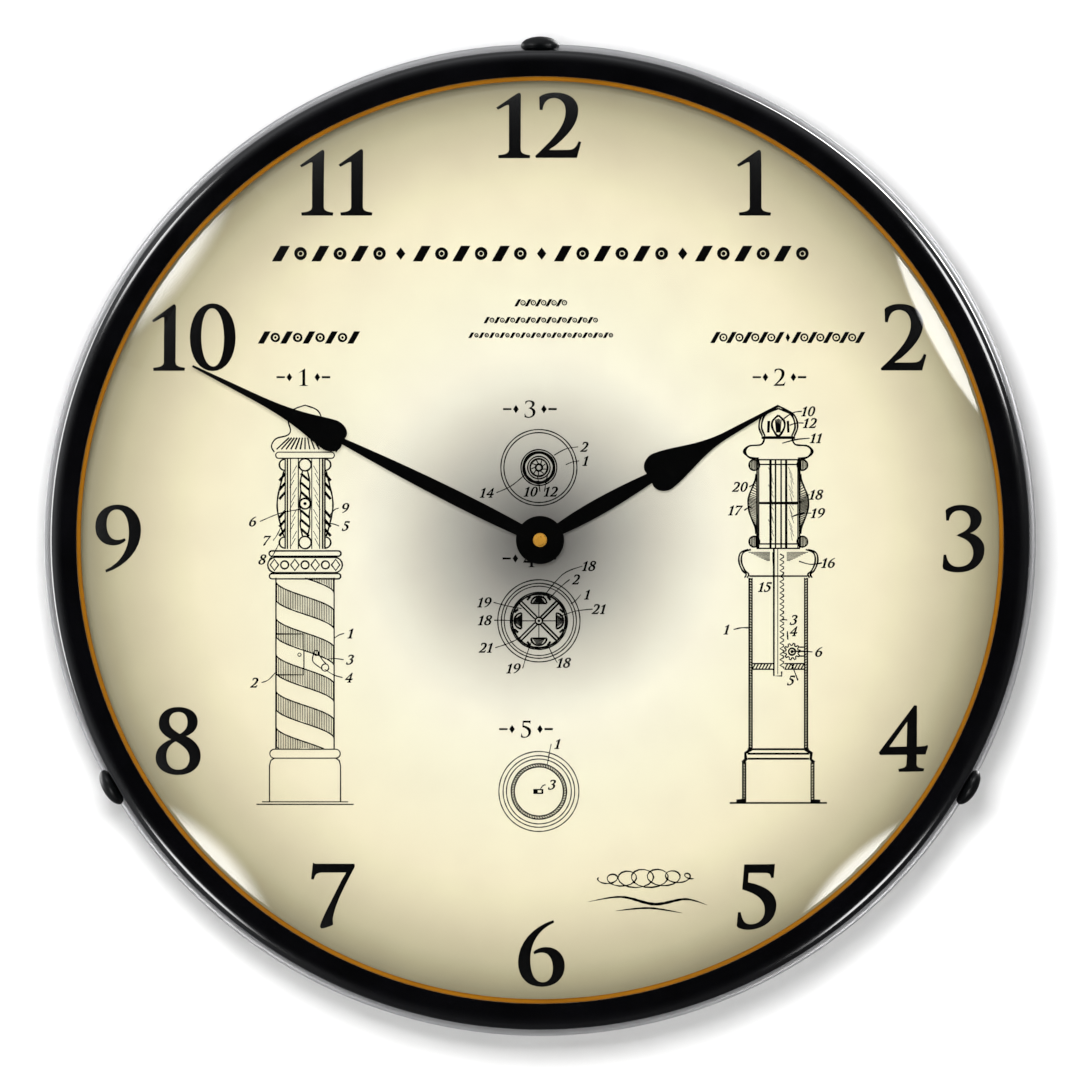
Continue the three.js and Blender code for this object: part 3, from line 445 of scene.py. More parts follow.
MATERIAL = {
    "satin_aluminium": spun_aluminium(),
    "black_enamel": uneven("black_enamel", linear("#020203"), linear("#050507"), 60.0, 35.0, (0.12, 0.2),
                           (420.0, 1.0, 0.04, 0.05), Coat_Weight=0.3, Coat_Roughness=0.05),
    # The amber bead's faint emission is a painted glow: it lights the bead evenly, though the bead is no
    # lamp.
    "amber_bead": uneven("amber_bead", linear("#7a4c07"), linear("#87560a"), 70.0, 200.0, (0.5, 0.6),
                         Specular_IOR_Level=0.06, Emission_Color=linear("#96600f"), Emission_Strength=0.08),
    "clear_glass": clear_glass(),
    "black_rubber": uneven("black_rubber", linear("#17171a"), linear("#232325"), 200.0, 400.0, (0.75, 0.9),
                           (1800.0, 2.0, 0.3, 0.08)),
    "opal_dial": opal_dial(),
    "white_plastic": plain("white_plastic", "#e8e6e0", 0.5, tint=0.04, grain=0.15),
    "zinc_steel": brushed("zinc_steel", "#b2b5b8", 0.32, (1, 1, 9)),
    "black_knob": plain("black_knob", "#040506", 0.42, tint=0.3, grain=0.06, grain_scale=700.0,
                        Specular_IOR_Level=0.2),
    "hand_black": plain("hand_black", "#020202", 0.6, tint=0.3, grain=0.12, grain_scale=1600.0,
                        Specular_IOR_Level=0.015),
    "brass_plate": brushed("brass_plate", "#e0a23a", 0.3, (1, 6, 1), metallic=0.55),
    "movement_plastic": plain("movement_plastic", "#1c1d1f", 0.5, tint=0.15, grain=0.3),
    "wheel_plastic": plain("wheel_plastic", "#d9d4c4", 0.45, tint=0.05, grain=0.1, Subsurface_Weight=0.1,
                           Subsurface_Radius=(0.001, 0.001, 0.0008)),
    "black_plastic": plain("black_plastic", "#111214", 0.45, tint=0.2, grain=0.35, grain_scale=1100.0),
    "copper_wire": brushed("copper_wire", "#b0602f", 0.3, (1, 14, 14)),
    "green_board": plain("green_board", "#1d5a38", 0.4, tint=0.15, scale=240.0, grain=0.1),
    "white_board": uneven("white_board", linear("#e9e9e4"), linear("#f5f5f1"), 150.0, 300.0, (0.35, 0.5),
                          Emission_Color=linear("#fff3dc"), Emission_Strength=0.6),
    "battery_sleeve": plain("battery_sleeve", "#2a3f6b", 0.28, tint=0.08, grain=0.05, Coat_Weight=0.4),
    "switch_red": plain("switch_red", "#9c1f1a", 0.25, tint=0.1, grain=0.06),
    "red_insulation": plain("red_insulation", "#9c1f1a", 0.45, tint=0.1, grain=0.15),
    "black_insulation": plain("black_insulation", "#141416", 0.45, tint=0.15, grain=0.15),
}
INK = dial_ink()
# The dial spacer is painted a darker olive than its white plastic: painted shade at the rim of the dial.
SHADED_PLASTIC = plain("shaded_plastic", "#8b836b", 0.6, tint=0.06, grain=0.1)

# ---- Case ------------------------------------------------------------------------------------

CASE_R, NECK_FRONT, CASE_BACK = span("case_pan")
SHEET = 1.2
CORNER_R = 148.0
CORNER_FRONT = -33.0
SHOULDER = -54.0
NECK_R = 173.9
OPENING_R = 52.0
SCREW_Y = sum(c.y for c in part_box("bezel_screw_12")) / 2
SCREW_HOLE_R = 2.3
JACK_HOUR = 6.25
SWITCH_HOUR = 5.8


def on_slope(hour):
    """The middle of the sloping rear shoulder at an hour, with +Y straight out of the sheet."""
    tilt = math.atan2(CASE_BACK - CORNER_FRONT, CASE_R - CORNER_R)
    middle = Vector((0, CASE_BACK + CORNER_FRONT, CORNER_R + CASE_R)) / 2 * MM
    return (CENTRE @ clockwise(hour * DEGREES_PER_HOUR) @ Matrix.Translation(middle)
            @ Matrix.Rotation(tilt, 4, "X"))


def drill(radius, start, end, place, segments=24):
    """A round cutter along Y, from millimetres."""
    corners = ((0, start), (radius, start), (radius, end), (0, end))
    return lathe("cutter", [Vector(corner) * MM for corner in corners], segments, place)


def screw_holes():
    """Cutters for the three radial screw holes."""
    return [drill(SCREW_HOLE_R, 165, 182, radial(hour, SCREW_Y)) for hour in SCREW_HOURS]


def build_case():
    outline = rounded([
        (OPENING_R, CASE_BACK, 0.4), (CORNER_R, CASE_BACK, 9), (CASE_R, CORNER_FRONT, 9),
        (CASE_R, SHOULDER, 2.4), (NECK_R, SHOULDER, 0.6), (NECK_R, NECK_FRONT, 0.3),
        (NECK_R - SHEET, NECK_FRONT, 0.3), (NECK_R - SHEET, SHOULDER + SHEET, 0.4),
        (CASE_R - SHEET, SHOULDER + SHEET, 1.2), (CASE_R - SHEET, CORNER_FRONT - 0.5, 8),
        (CORNER_R - 0.5, CASE_BACK - SHEET, 8), (OPENING_R, CASE_BACK - SHEET, 0.4),
    ], steps=6)
    case = lathe("case_shell", outline)
    hang = -CENTRE_Z / MM
    keyhole = prism("cutter", box_outline(8, 11.5, 6, 0, hang - 5.5), -6 * MM, 0)
    jack = drill(5.7, -4, 4, on_slope(JACK_HOUR), 32)
    switch = prism("cutter", box_outline(4.4, 6.6, 0.3), -4 * MM, 4 * MM, on_slope(SWITCH_HOUR))
    cut(case, keyhole, jack, switch, *screw_holes())
    present(case, "satin_aluminium", "case_pan")


def build_bezel():
    outer, front, skirt = span("bezel")
    lip = 165.7
    sheet = 1.0
    outline = rounded([
        (outer, skirt, 0.3), (outer, front + 0.5, 5.6), (lip, front, 0.5), (lip, front + sheet, 0.3),
        (outer - sheet, front + sheet + 0.5, 4.6), (outer - sheet, skirt, 0.3),
    ], steps=12)
    ring = lathe("bezel_ring", outline, RIM_SEGMENTS)
    cut(ring, *screw_holes())
    present(ring, "black_enamel", "bezel")


def build_bead():
    outer, front, back = span("glass_bead")
    middle = Vector((outer - 1.32, (front + back) / 2 + 0.1))
    section = [(middle + point) * MM for point in circle(0.8, 14)]
    present(lathe("amber_ring", section, RIM_SEGMENTS), "amber_bead", "glass_bead")


def build_glass():
    """The domed glass: a flange in the gasket, then a shallow elliptical dome of even thickness."""
    flange_r, crown, back = span("lens_glass")
    thick = 3.0
    dome_r, dome_y = 168.5, -71.0
    rise = dome_y - crown

    def face(edge_r, height, edge_angle, steps=40):
        angles = [math.radians(edge_angle * (1 - i / steps) ** 1.5) for i in range(steps + 1)]
        return [(edge_r * math.sin(a), dome_y - height * math.cos(a)) for a in angles]

    outside = face(dome_r, rise, 84.5)
    inside = face(dome_r - thick, rise - thick, 89)[::-1]
    outline = rounded([(flange_r, back, 0.5), (flange_r, back - thick, 0.5), *outside,
                       *inside, (dome_r - thick, back, 0.3)])
    glass = lathe("domed_glass", outline, RIM_SEGMENTS)
    glass.data.shade_smooth()
    glass.visible_shadow = False
    present(glass, "clear_glass", "lens_glass")


def build_dial():
    radius, front, back = span("dial_panel")
    hole = 4.3
    outline = rounded([(radius, back, 0.3), (radius, front, 0.3), (hole, front, 0.2), (hole, back, 0.2)])
    present(lathe("dial_plate", outline), "opal_dial", "dial_panel")


# ---- The dial's print ------------------------------------------------------------------------

CAP_HEIGHT = 100.0
# Outlines of serif figures, as move, line, quadratic, cubic and close commands.
FIGURES = {
    "0": "M34 101 C54 101 68.4 80 68.4 50 C68.4 20 54 -1 34 -1 C14 -1 0 20 0 50 C0 80 14 101 34 101 Z "
         "M33 95.5 C44 95.5 52.6 77 52.6 49 C52.6 21 45 4 35 4 C24 4 15.6 22 15.6 51 "
         "C15.6 79 23 95.5 33 95.5 Z",
    "1": "M0 76 L33 99.5 Q37 102 36.3 92 L36 12 Q36 3.5 51 2.5 L51 -0.5 L3 -0.5 L3 2.5 Q20 3 20 12 L20 79 "
         "Q20 83.5 14 81 L2 74.5 Z",
    "2": "M6.4 93.5 C13 98.5 21 100.5 30.5 100.5 C50 100.5 64.5 90 64.5 73 C64.5 52 50 34 19.5 10.3 "
         "L48 10.3 C59 10.3 63 14 66.5 24 L69 23.5 L63 0 L0.5 0 L0 1.5 C32 31 47 50 47 71 "
         "C47 84 39.5 93 28 93 C18 93 11 86 9.8 73.5 L7 73.5 Z",
    "3": "M5.5 93.5 C12 98.5 20 100.8 29 100.8 C48 100.8 60.3 93 60.3 81.5 C60.3 71 53 64 41.8 58.3 "
         "C56 54 64.8 45 64.8 33.5 C64.8 13 48 -1 24 -1 C14 -1 5 1.5 1.3 4.5 L1 7 L2.3 25 L4.6 25 "
         "C7 11.5 13.5 5.8 24.5 5.8 C39 5.8 48.6 14.5 48.6 28 C48.6 42 38.5 51 22 55 "
         "C37 60 44.3 66.5 44.3 76.5 C44.3 87 37 94 26.5 94 C17 94 10.5 88.5 9 78 L6.5 78 Z",
    "4": "M0 28 L54.5 100.5 L57.2 100.5 L57.2 37.2 L69 37.2 Q72 37.2 74.5 39 L74.7 36.5 L71.5 25.8 "
         "L57.2 25.8 L57.2 10 Q57.5 3.3 70 2.6 L70 -0.3 L30.3 -0.3 L30.3 2.6 Q42.5 3.3 43 10 L43 25.8 "
         "L1 25.8 Z M43 76.5 L43 37.2 L14.5 37.2 Z",
    "5": "M11 98.7 L50 98.7 L56.7 99.8 L54.7 79 L52.5 79 C51.5 85.5 49 87.2 43 87.2 L16.7 87.2 L15.4 71.5 "
         "C45 65 59.2 54 59.2 36 C59.2 14 42 -1 17.5 -1 C9 -1 2.5 1.3 0 4.5 L1.8 25.5 L4.3 25.5 "
         "C6.5 11 12 5.8 21.5 5.8 C34.5 5.8 43.2 15 43.2 29 C43.2 44 31 56 8.3 61 Z",
    "6": "M53.4 101 C22 91 0 66 0 37 C0 14 14 -1.3 35 -1.3 C55 -1.3 69.8 12 69.8 31.5 "
         "C69.8 48 58.5 59.5 42.5 59.5 C35 59.5 28.5 57 23.5 52.5 L24.5 50.2 C27.5 52 31.5 53 35.5 53 "
         "C46.5 53 53.5 43.5 53.5 27.5 C53.5 13.5 47 4.3 36.5 4.3 C24.5 4.3 16.8 18.5 16.8 41 "
         "C16.8 66 29 88 54 99 Z",
    "7": "M2.8 99.5 L5.5 97.3 L65.5 97.3 L65.5 94.5 C50 65 35 38 31 13 L31.8 4.5 C26 1.5 19 -0.5 14.2 -1.6 "
         "L12.8 1 C16 14 36 50 53.3 85.7 L18 85.7 C8 85.7 4.5 83.5 2.3 74.5 L0 74.5 Z",
    "8": "M34.7 101.8 C52 101.8 63.8 93.5 63.8 80.5 C63.8 70 57.5 63.5 46 58 C60 50.5 68.4 41 68.4 27.5 "
         "C68.4 10.5 54 -1 33.4 -1 C13.5 -1 0 9 0 24 C0 37 9 46 24.6 53 C12 60.5 5.6 67 5.6 77 "
         "C5.6 92 17.5 101.8 34.7 101.8 Z M35 96 C44 96 50 90 50 79.5 C50 71 46 65 37.2 60.5 "
         "C25.5 66.5 20 73 20 81 C20 90.5 26 96 35 96 Z M31 51 C46 42.5 53 34.5 53 24 "
         "C53 12.5 46 5.3 34 5.3 C22.5 5.3 15.2 13.5 15.2 27 C15.2 38 20.5 46 31 51 Z",
}


def read_outline(path, steps):
    """The closed loops of an outline written as M, L, Q, C and Z commands."""
    loops = []
    for command, values in re.findall("([MLQC])([^MLQCZ]*)", path):
        numbers = [float(value) for value in values.split()]
        points = [Vector(place) for place in zip(numbers[::2], numbers[1::2])]
        if command == "M":
            loops.append(points)
        elif command == "L":
            loops[-1] += points
        else:
            hull = [loops[-1][-1], *points]
            loops[-1] += [de_casteljau(hull, (i + 1) / steps) for i in range(steps)]
    return loops


def de_casteljau(hull, t):
    """The point at t on the Bezier curve with these control points."""
    while len(hull) > 1:
        hull = [a.lerp(b, t) for a, b in zip(hull, hull[1:])]
    return hull[0]


def figure_loops(digit, steps=8):
    """A digit's loops. A nine is a six turned half round."""
    if digit != "9":
        return read_outline(FIGURES[digit], steps)
    centre = Vector((34.9, 50.0))
    return [[2 * centre - p for p in loop] for loop in read_outline(FIGURES["6"], steps)]


def smooth(points, steps=8):
    """A smooth curve through points (Catmull-Rom)."""
    points = [Vector(p) for p in points]
    ends = [points[0], *points, points[-1]]
    result = []
    for before, here, there, after in zip(ends, ends[1:], ends[2:], ends[3:]):
        slope = there - before
        square = 2 * before - 5 * here + 4 * there - after
        cube = 3 * here - before - 3 * there + after
        for t in (step / steps for step in range(steps)):
            result.append(0.5 * (2 * here + slope * t + square * t * t + cube * t ** 3))
    return [*result, points[-1]]


class Print:
    """Flat black shapes on the dial, in millimetres right of and above a point on its middle line.
    Every pen line is heavier than the width it is given, by the factor pen."""

    lift = 0.06  # of the ink's face in front of the dial
    film = 0.04  # thickness of the ink

    def __init__(self, name, x=0.0, pen=1.4):
        self.name = name
        self.origin = Vector((x, 0.0))
        self.pen = pen
        self.verts = []
        self.faces = []

    def move_to(self, z):
        """Sets the height that what is drawn next is measured from."""
        self.origin.y = z

    def fill(self, *loops):
        """Fills an outline. The first loop is its outside and the others are holes."""
        flat = [[(Vector(p) + self.origin).to_3d() for p in loop] for loop in loops]
        start = len(self.verts)
        self.verts += [(p.x, p.y) for loop in flat for p in loop]
        self.faces += [[start + i for i in face] for face in tessellate_polygon(flat)]

    def line(self, points, width=0.3, closed=False, taper=False, wobble=0.12):
        """A pen line whose width varies a little, as a ruled or drawn ink line does."""
        points = [Vector(p) + self.origin for p in points]
        count = len(points)
        start = len(self.verts)
        travelled = 0.0
        for i, here in enumerate(points):
            before = points[i - 1] if closed or i else here
            after = points[(i + 1) % count] if closed or i < count - 1 else here
            along = (after - before).normalized()
            travelled += (here - before).length
            swing = 1 + wobble * math.sin(1.3 * travelled + 0.7 * here.x)
            half = self.pen * width / 2 * swing * (math.sin(math.pi * (i + 0.5) / count) if taper else 1)
            across = Vector((-along.y, along.x)) * half
            self.verts += [tuple(here + across), tuple(here - across)]
        for i in range(count if closed else count - 1):
            a, b = start + 2 * i, start + 2 * ((i + 1) % count)
            self.faces.append([a, a + 1, b + 1, b])

    def pair(self, points, width=0.3, **how):
        """The same line on the left and the right of the middle line."""
        for side in (-1, 1):
            self.line([(side * d, z) for d, z in points], width, **how)

    def rule(self, half, z, width=0.3):
        """A level line across the middle line."""
        self.line([(-half, z), (half, z)], width)

    def ring(self, x, z, radius, width=0.3, segments=48):
        self.line(circle(radius, segments, x, z), width, closed=True)

    def dot(self, x, z, radius, segments=12):
        self.fill(circle(radius, segments, x, z))

    def diamond(self, x, z, half_width, half_height):
        self.fill([(x - half_width, z), (x, z - half_height), (x + half_width, z), (x, z + half_height)])

    def number(self, text, x, z, height, slant=0.0, spacing=9.0, steps=8, spread=0.0):
        """A whole number centred on a point."""
        glyphs, cursor = [], 0.0
        for digit in text:
            loops = figure_loops(digit, steps)
            glyphs.append((loops, cursor))
            cursor += max(p.x for loop in loops for p in loop) + spacing
        width = cursor - spacing
        scale = height / CAP_HEIGHT
        for loops, shift in glyphs:
            placed = [[(x + (p.x + shift - width / 2 + (p.y - CAP_HEIGHT / 2) * slant) * scale,
                        z + (p.y - CAP_HEIGHT / 2) * scale) for p in loop] for loop in loops]
            self.fill(*placed)
            for loop in placed if spread else ():
                self.line(loop, spread, closed=True, wobble=0)

    def notes(self, *rows):
        """Small slanted reference numbers, each with the thin line that leads from it to its target.
        A row is the number, its x and z, the target's x and z, and how far the line bends."""
        for text, x, z, target_x, target_z, bend in rows:
            self.number(text, x, z, 3.4, slant=0.28, spacing=14.0, steps=3, spread=0.22 / self.pen)
            end = Vector((target_x, target_z))
            gap = 2.4 if end.x > x else -2.4
            start = Vector((x + gap + (0.8 if len(text) > 1 and gap > 0 else 0), z))
            middle = (start + end) / 2 + Vector((0, bend))
            self.line(smooth([start, middle, end], 6), 0.24, wobble=0.2)

    def build(self):
        front = DIAL_FRONT - self.lift * MM
        mesh = bpy.data.meshes.new(self.name)
        mesh.from_pydata([(x * MM, front, z * MM + CENTRE_Z) for x, z in self.verts], [], self.faces)
        work = bmesh.new()
        work.from_mesh(mesh)
        for face in work.faces:
            face.normal_update()
            if face.normal.y > 0:
                face.normal_flip()
        work.to_mesh(mesh)
        work.free()
        made = add_object(self.name, mesh)
        film = made.modifiers.new("film", "SOLIDIFY")
        film.thickness = self.film * MM
        film.offset = -1
        paint(made, INK)
        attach(made, "clock")


NUMERAL_HEIGHT = 23.3
# Where the numbers 1 to 12 stand on the dial: (right of its middle, above it), to half a millimetre.
NUMERAL_PLACES = ((76.5, 128), (130, 72.5), (151.5, 0.5), (130, -71), (77.5, -127.5), (0.5, -148),
                  (-74, -127), (-129.5, -72), (-151, 0.5), (-124, 72.5), (-73, 128), (-0.5, 148.5))
INK_SPREAD = 0.34  # how much wider than its outline the ink of a numeral runs


def print_numerals():
    sheet = Print("dial_numerals")
    for hour, (x, z) in enumerate(NUMERAL_PLACES, start=1):
        sheet.number(str(hour), x, z, NUMERAL_HEIGHT, spread=INK_SPREAD)
    sheet.build()


def print_ornaments():
    """Rules and a flourish where a maker would put a title, captions and a signature."""
    sheet = Print("dial_ornaments")
    stripe_rule(sheet, 0.6, 102.4, groups=4, marks=6, pitch=7.05, height=5.6, weight=1.7)
    for z, marks, height in ((84.8, 10, 2.6), (78.6, 22, 2.3), (73.2, 28, 2.0)):
        stripe_rule(sheet, 0.4, z, groups=1, marks=marks, pitch=1.85, height=height, weight=0.55)
    stripe_rule(sheet, -82.6, 72.4, groups=1, marks=9, pitch=4.0, height=4.4, weight=1.1)
    stripe_rule(sheet, 88.6, 72.4, groups=2, marks=9, pitch=2.85, height=4.0, weight=0.8)
    captions = ((-84.6, 58.2), (85.6, 58.2), (-3.6, 46.8), (-3.8, -6.6), (-5.0, -67.6))
    for number, (x, z) in enumerate(captions, start=1):
        sheet.number(str(number), x, z, 6.2, steps=5)
        for side in (-1, 1):
            sheet.diamond(x + side * 5.0, z, 1.0, 1.5)
            sheet.line([(x + side * 6.6, z), (x + side * 9.6, z)], 0.5)
    flourish(sheet, 39.0, -125.0)
    sheet.build()


def stripe_rule(sheet, x, z, groups, marks, pitch, height, weight):
    """A row of leaning strokes between dots, like the stripes of a barber's pole laid flat."""
    gap = pitch * 1.15
    length = groups * marks * pitch + (groups - 1) * gap
    lean = height * 0.28
    low, high = z - height / 2, z + height / 2
    for group in range(groups):
        start = x - length / 2 + group * (marks * pitch + gap)
        for k in range(marks):
            at = start + (k + 0.5) * pitch
            if k % 2 == 0:
                sheet.fill([(at - weight - lean, low), (at + weight - lean, low),
                            (at + weight + lean, high), (at - weight + lean, high)])
            else:
                sheet.ring(at, z, height * 0.3, weight * 0.55, 14)
                sheet.dot(at, z, weight * 0.45, 8)
        if group < groups - 1:
            sheet.diamond(start + marks * pitch + gap / 2, z, weight, height * 0.4)


def flourish(sheet, x, z):
    """A penman's scroll of running loops over a long swelling line."""
    steps, turns = 96, 6.5
    loops = []
    for k in range(steps + 1):
        t = k / steps
        a = TURN * turns * t
        swell = 2.6 * math.sin(math.pi * t) + 0.7
        loops.append((x - 18 + 34 * t - 1.6 * math.sin(a) * swell, z + 3.4 + 1.2 * t + math.cos(a) * swell))
    sheet.line(loops, 0.34, wobble=0.35)
    wave = [(x - 22, z - 4.4), (x - 10, z - 2.6), (x + 2, z - 5.2), (x + 13, z - 3.4), (x + 21, z - 5.6)]
    sheet.line(smooth(wave, 10), 0.75, taper=True)
    sheet.line(smooth([(x - 12, z - 7.6), (x, z - 6.6), (x + 12, z - 8.4)], 8), 0.5, taper=True)


# Half widths and heights that both drawings of the pole share.
POLE_HALF = 10.4
POLE_TOP = -13.5
POLE_FOOT = -74.8
BASE_HALF = 12.7
BASE_FOOT = -93.6
LAMP_TOP = 29.2
LAMP_FOOT = -3.2
OUTSIDE_X = -84.0
SECTION_X = 85.2
PLANS_X = -0.4


def helix_band(sheet, top, thick, drop):
    """One stripe of the pole as seen from the front, shaded with upright pen strokes."""
    edge, strokes = 40, 34
    turns = [math.pi * (k / edge - 0.5) for k in range(edge + 1)]
    upper = [(POLE_HALF * math.sin(a), top - drop * (a / math.pi + 0.5)) for a in turns]

    def inside(z):
        return max(POLE_FOOT, min(POLE_TOP, z))

    for shift in (0, -thick):
        border = [(x, z + shift) for x, z in upper if POLE_FOOT <= z + shift <= POLE_TOP]
        if len(border) > 1:
            sheet.line(border, 0.34)
    for k in range(strokes):
        share = (k + 0.5) / strokes * 2 - 1
        z = top - drop * (math.asin(share) / math.pi + 0.5)
        high, low = inside(z), inside(z - thick)
        if high - low > 0.3:
            jitter = max(0.0, 0.5 * math.sin(12.9 * k + top))
            sheet.line([(POLE_HALF * share, high), (POLE_HALF * share, low + jitter)], 0.2)


def moulding(sheet, top, foot, half, width=0.3):
    """A rounded band across the pole: two lines joined by half-round ends."""
    middle, reach = (top + foot) / 2, (top - foot) / 2
    steps = 8
    ends = []
    for side, start in ((1, math.pi / 2), (-1, -math.pi / 2)):
        end = Vector((side * half, middle))
        ends += [end + polar(reach, start - math.pi * k / steps) for k in range(steps + 1)]
    sheet.line(ends, width, closed=True)


def pole_outside():
    """An old barber's pole seen from the front: lamp top, lantern, collar, striped column and base."""
    sheet = Print("dial_pole_outside", OUTSIDE_X)
    cap = [(0, 48.2), (4.4, 46.4), (6.0, 42.8), (5.2, 39.2), (6.4, 37.4), (10.4, 36.2),
           (12.0, 33.6), (11.0, 31.4)]
    sheet.pair(smooth(cap, 6), 0.36)
    for k in range(-6, 7):
        sheet.line([(k * 0.95, 36.6), (k * 1.7, 32.4)], 0.55, taper=True)
    moulding(sheet, 31.4, LAMP_TOP, 9.4)
    lantern(sheet)
    for top, foot, half in ((-3.9, -5.8, 11.9), (-6.2, -11.7, 10.6), (-12.0, POLE_TOP - 0.4, 11.8)):
        moulding(sheet, top, foot, half, 0.4)
    for k in range(-3, 4):
        x, z = k * 3.65, -8.9
        if k % 2:
            sheet.line([(x - 1.5, z), (x, z - 2.0), (x + 1.5, z), (x, z + 2.0)], 0.42, closed=True)
        else:
            sheet.ring(x, z, 1.4, 0.42, 16)
    sheet.pair([(POLE_HALF, POLE_TOP), (POLE_HALF, POLE_FOOT)], 0.36)
    for band in range(-1, 5):
        helix_band(sheet, POLE_TOP - 1.2 - 13.0 * band, 6.4, 11.0)
    sheet.line([(-POLE_HALF, -33.6), (-0.4, -33.6), (-0.4, -48.2), (-POLE_HALF, -48.2)], 0.42)
    sheet.ring(-2.0, -41.0, 0.6, 0.25, 12)
    crank(sheet, 4.0, -40.4)
    column_base(sheet)
    sheet.notes(
        ("9", 14.4, 11.4, 9.0, 9.0, 0.6), ("5", 14.6, 5.0, 7.4, 5.8, 0.4), ("6", -18.6, 6.6, -1.4, 11.0, 0.8),
        ("7", -13.8, -0.2, -8.6, 4.6, -0.4), ("8", -15.2, -7.0, -9.4, -1.4, -0.6),
        ("1", 16.4, -33.4, 10.6, -35.0, 0.3), ("3", 16.2, -42.8, 7.8, -42.6, 0.3),
        ("4", 15.8, -49.2, 7.0, -46.2, -0.5), ("2", -18.0, -51.0, -10.6, -47.4, -0.8),
    )
    sheet.build()


def lantern(sheet):
    """The glazed part under the cap: panes behind three turned spindles with a ball at each end."""
    balls = (LAMP_TOP - 2.3, LAMP_FOOT + 2.3)
    for d, width in ((6.3, 0.4), (7.1, 0.4), (2.4, 0.26), (5.2, 0.26)):
        sheet.pair([(d, LAMP_TOP), (d, LAMP_FOOT)], width)
    sheet.pair(smooth([(7.6, 24.6), (8.8, 19.6), (9.8, 15.0), (9.9, 11.0), (8.9, 6.0), (7.6, 1.4)], 6), 0.42)
    half_turn = [math.pi * (k / 10 - 0.5) for k in range(11)]
    for z in balls:
        sheet.pair([Vector((7.2, z)) + polar(2.0, a) for a in half_turn], 0.42)
        sheet.ring(0, z, 2.2, 0.42, 24)
    waist = [(0.9, 24.6), (1.7, 20.6), (1.5, 17.0), (2.0, 13.0), (1.5, 9.0), (1.7, 5.4), (0.9, 1.4)]
    sheet.pair(smooth(waist, 5), 0.38)
    for x, half, lean in ((-8.1, 1.1, -1), (8.1, 1.1, 1), (0, 1.5, 1)):
        twist(sheet, x, half, lean)
    sheet.ring(0, 13.0, 1.9, 0.45, 20)
    sheet.dot(0, 13.0, 0.6)
    for k in range(11):
        d, top = 3.0 + 0.5 * (k % 3), 26.6 - 2.6 * k
        sheet.pair([(d, top), (d + 1.5, top - 2.8)], 0.24, taper=True)


def twist(sheet, x, half, lean):
    """The dark turns of a twisted spindle, on both sides of the ring at its middle."""
    for k in (0, 1, 2, 4, 5, 6):
        z = 22.8 - 3.3 * k
        sheet.line([(x - half * lean, z + 1.0), (x + half * lean, z - 1.6)], 0.9, taper=True)


def crank(sheet, x, z):
    """The winding crank on the side of the column."""
    sheet.ring(x, z, 0.9, 0.3, 14)
    sheet.ring(x + 3.2, z - 5.2, 1.3, 0.3, 16)
    sheet.line(smooth([(x - 0.9, z), (x - 1.2, z - 3.0), (x + 1.9, z - 5.6)], 6), 0.28)
    sheet.line(smooth([(x + 0.9, z - 0.4), (x + 2.2, z - 2.4), (x + 3.6, z - 4.0)], 6), 0.28)


def column_base(sheet):
    moulding(sheet, POLE_FOOT, -78.0, 11.0)
    sheet.pair([(11.0, -78.0), (12.2, -78.8), (BASE_HALF, -80.6), (BASE_HALF, BASE_FOOT)], 0.34)
    sheet.rule(15.4, BASE_FOOT)
    sheet.rule(17.4, BASE_FOOT - 0.9, 0.36)


def hatched_wall(sheet, d, top, foot, thick=1.0):
    """A cut wall on both sides of the axis: two lines with short leaning strokes between them."""
    sheet.pair([(d, top), (d, foot)], 0.26)
    sheet.pair([(d + thick, top), (d + thick, foot)])
    count = int((top - foot) / 0.95)
    for k in range(count):
        z = top - (k + 0.5) * (top - foot) / count
        sheet.pair([(d, z - 0.3), (d + thick, z + 0.3)], 0.28)


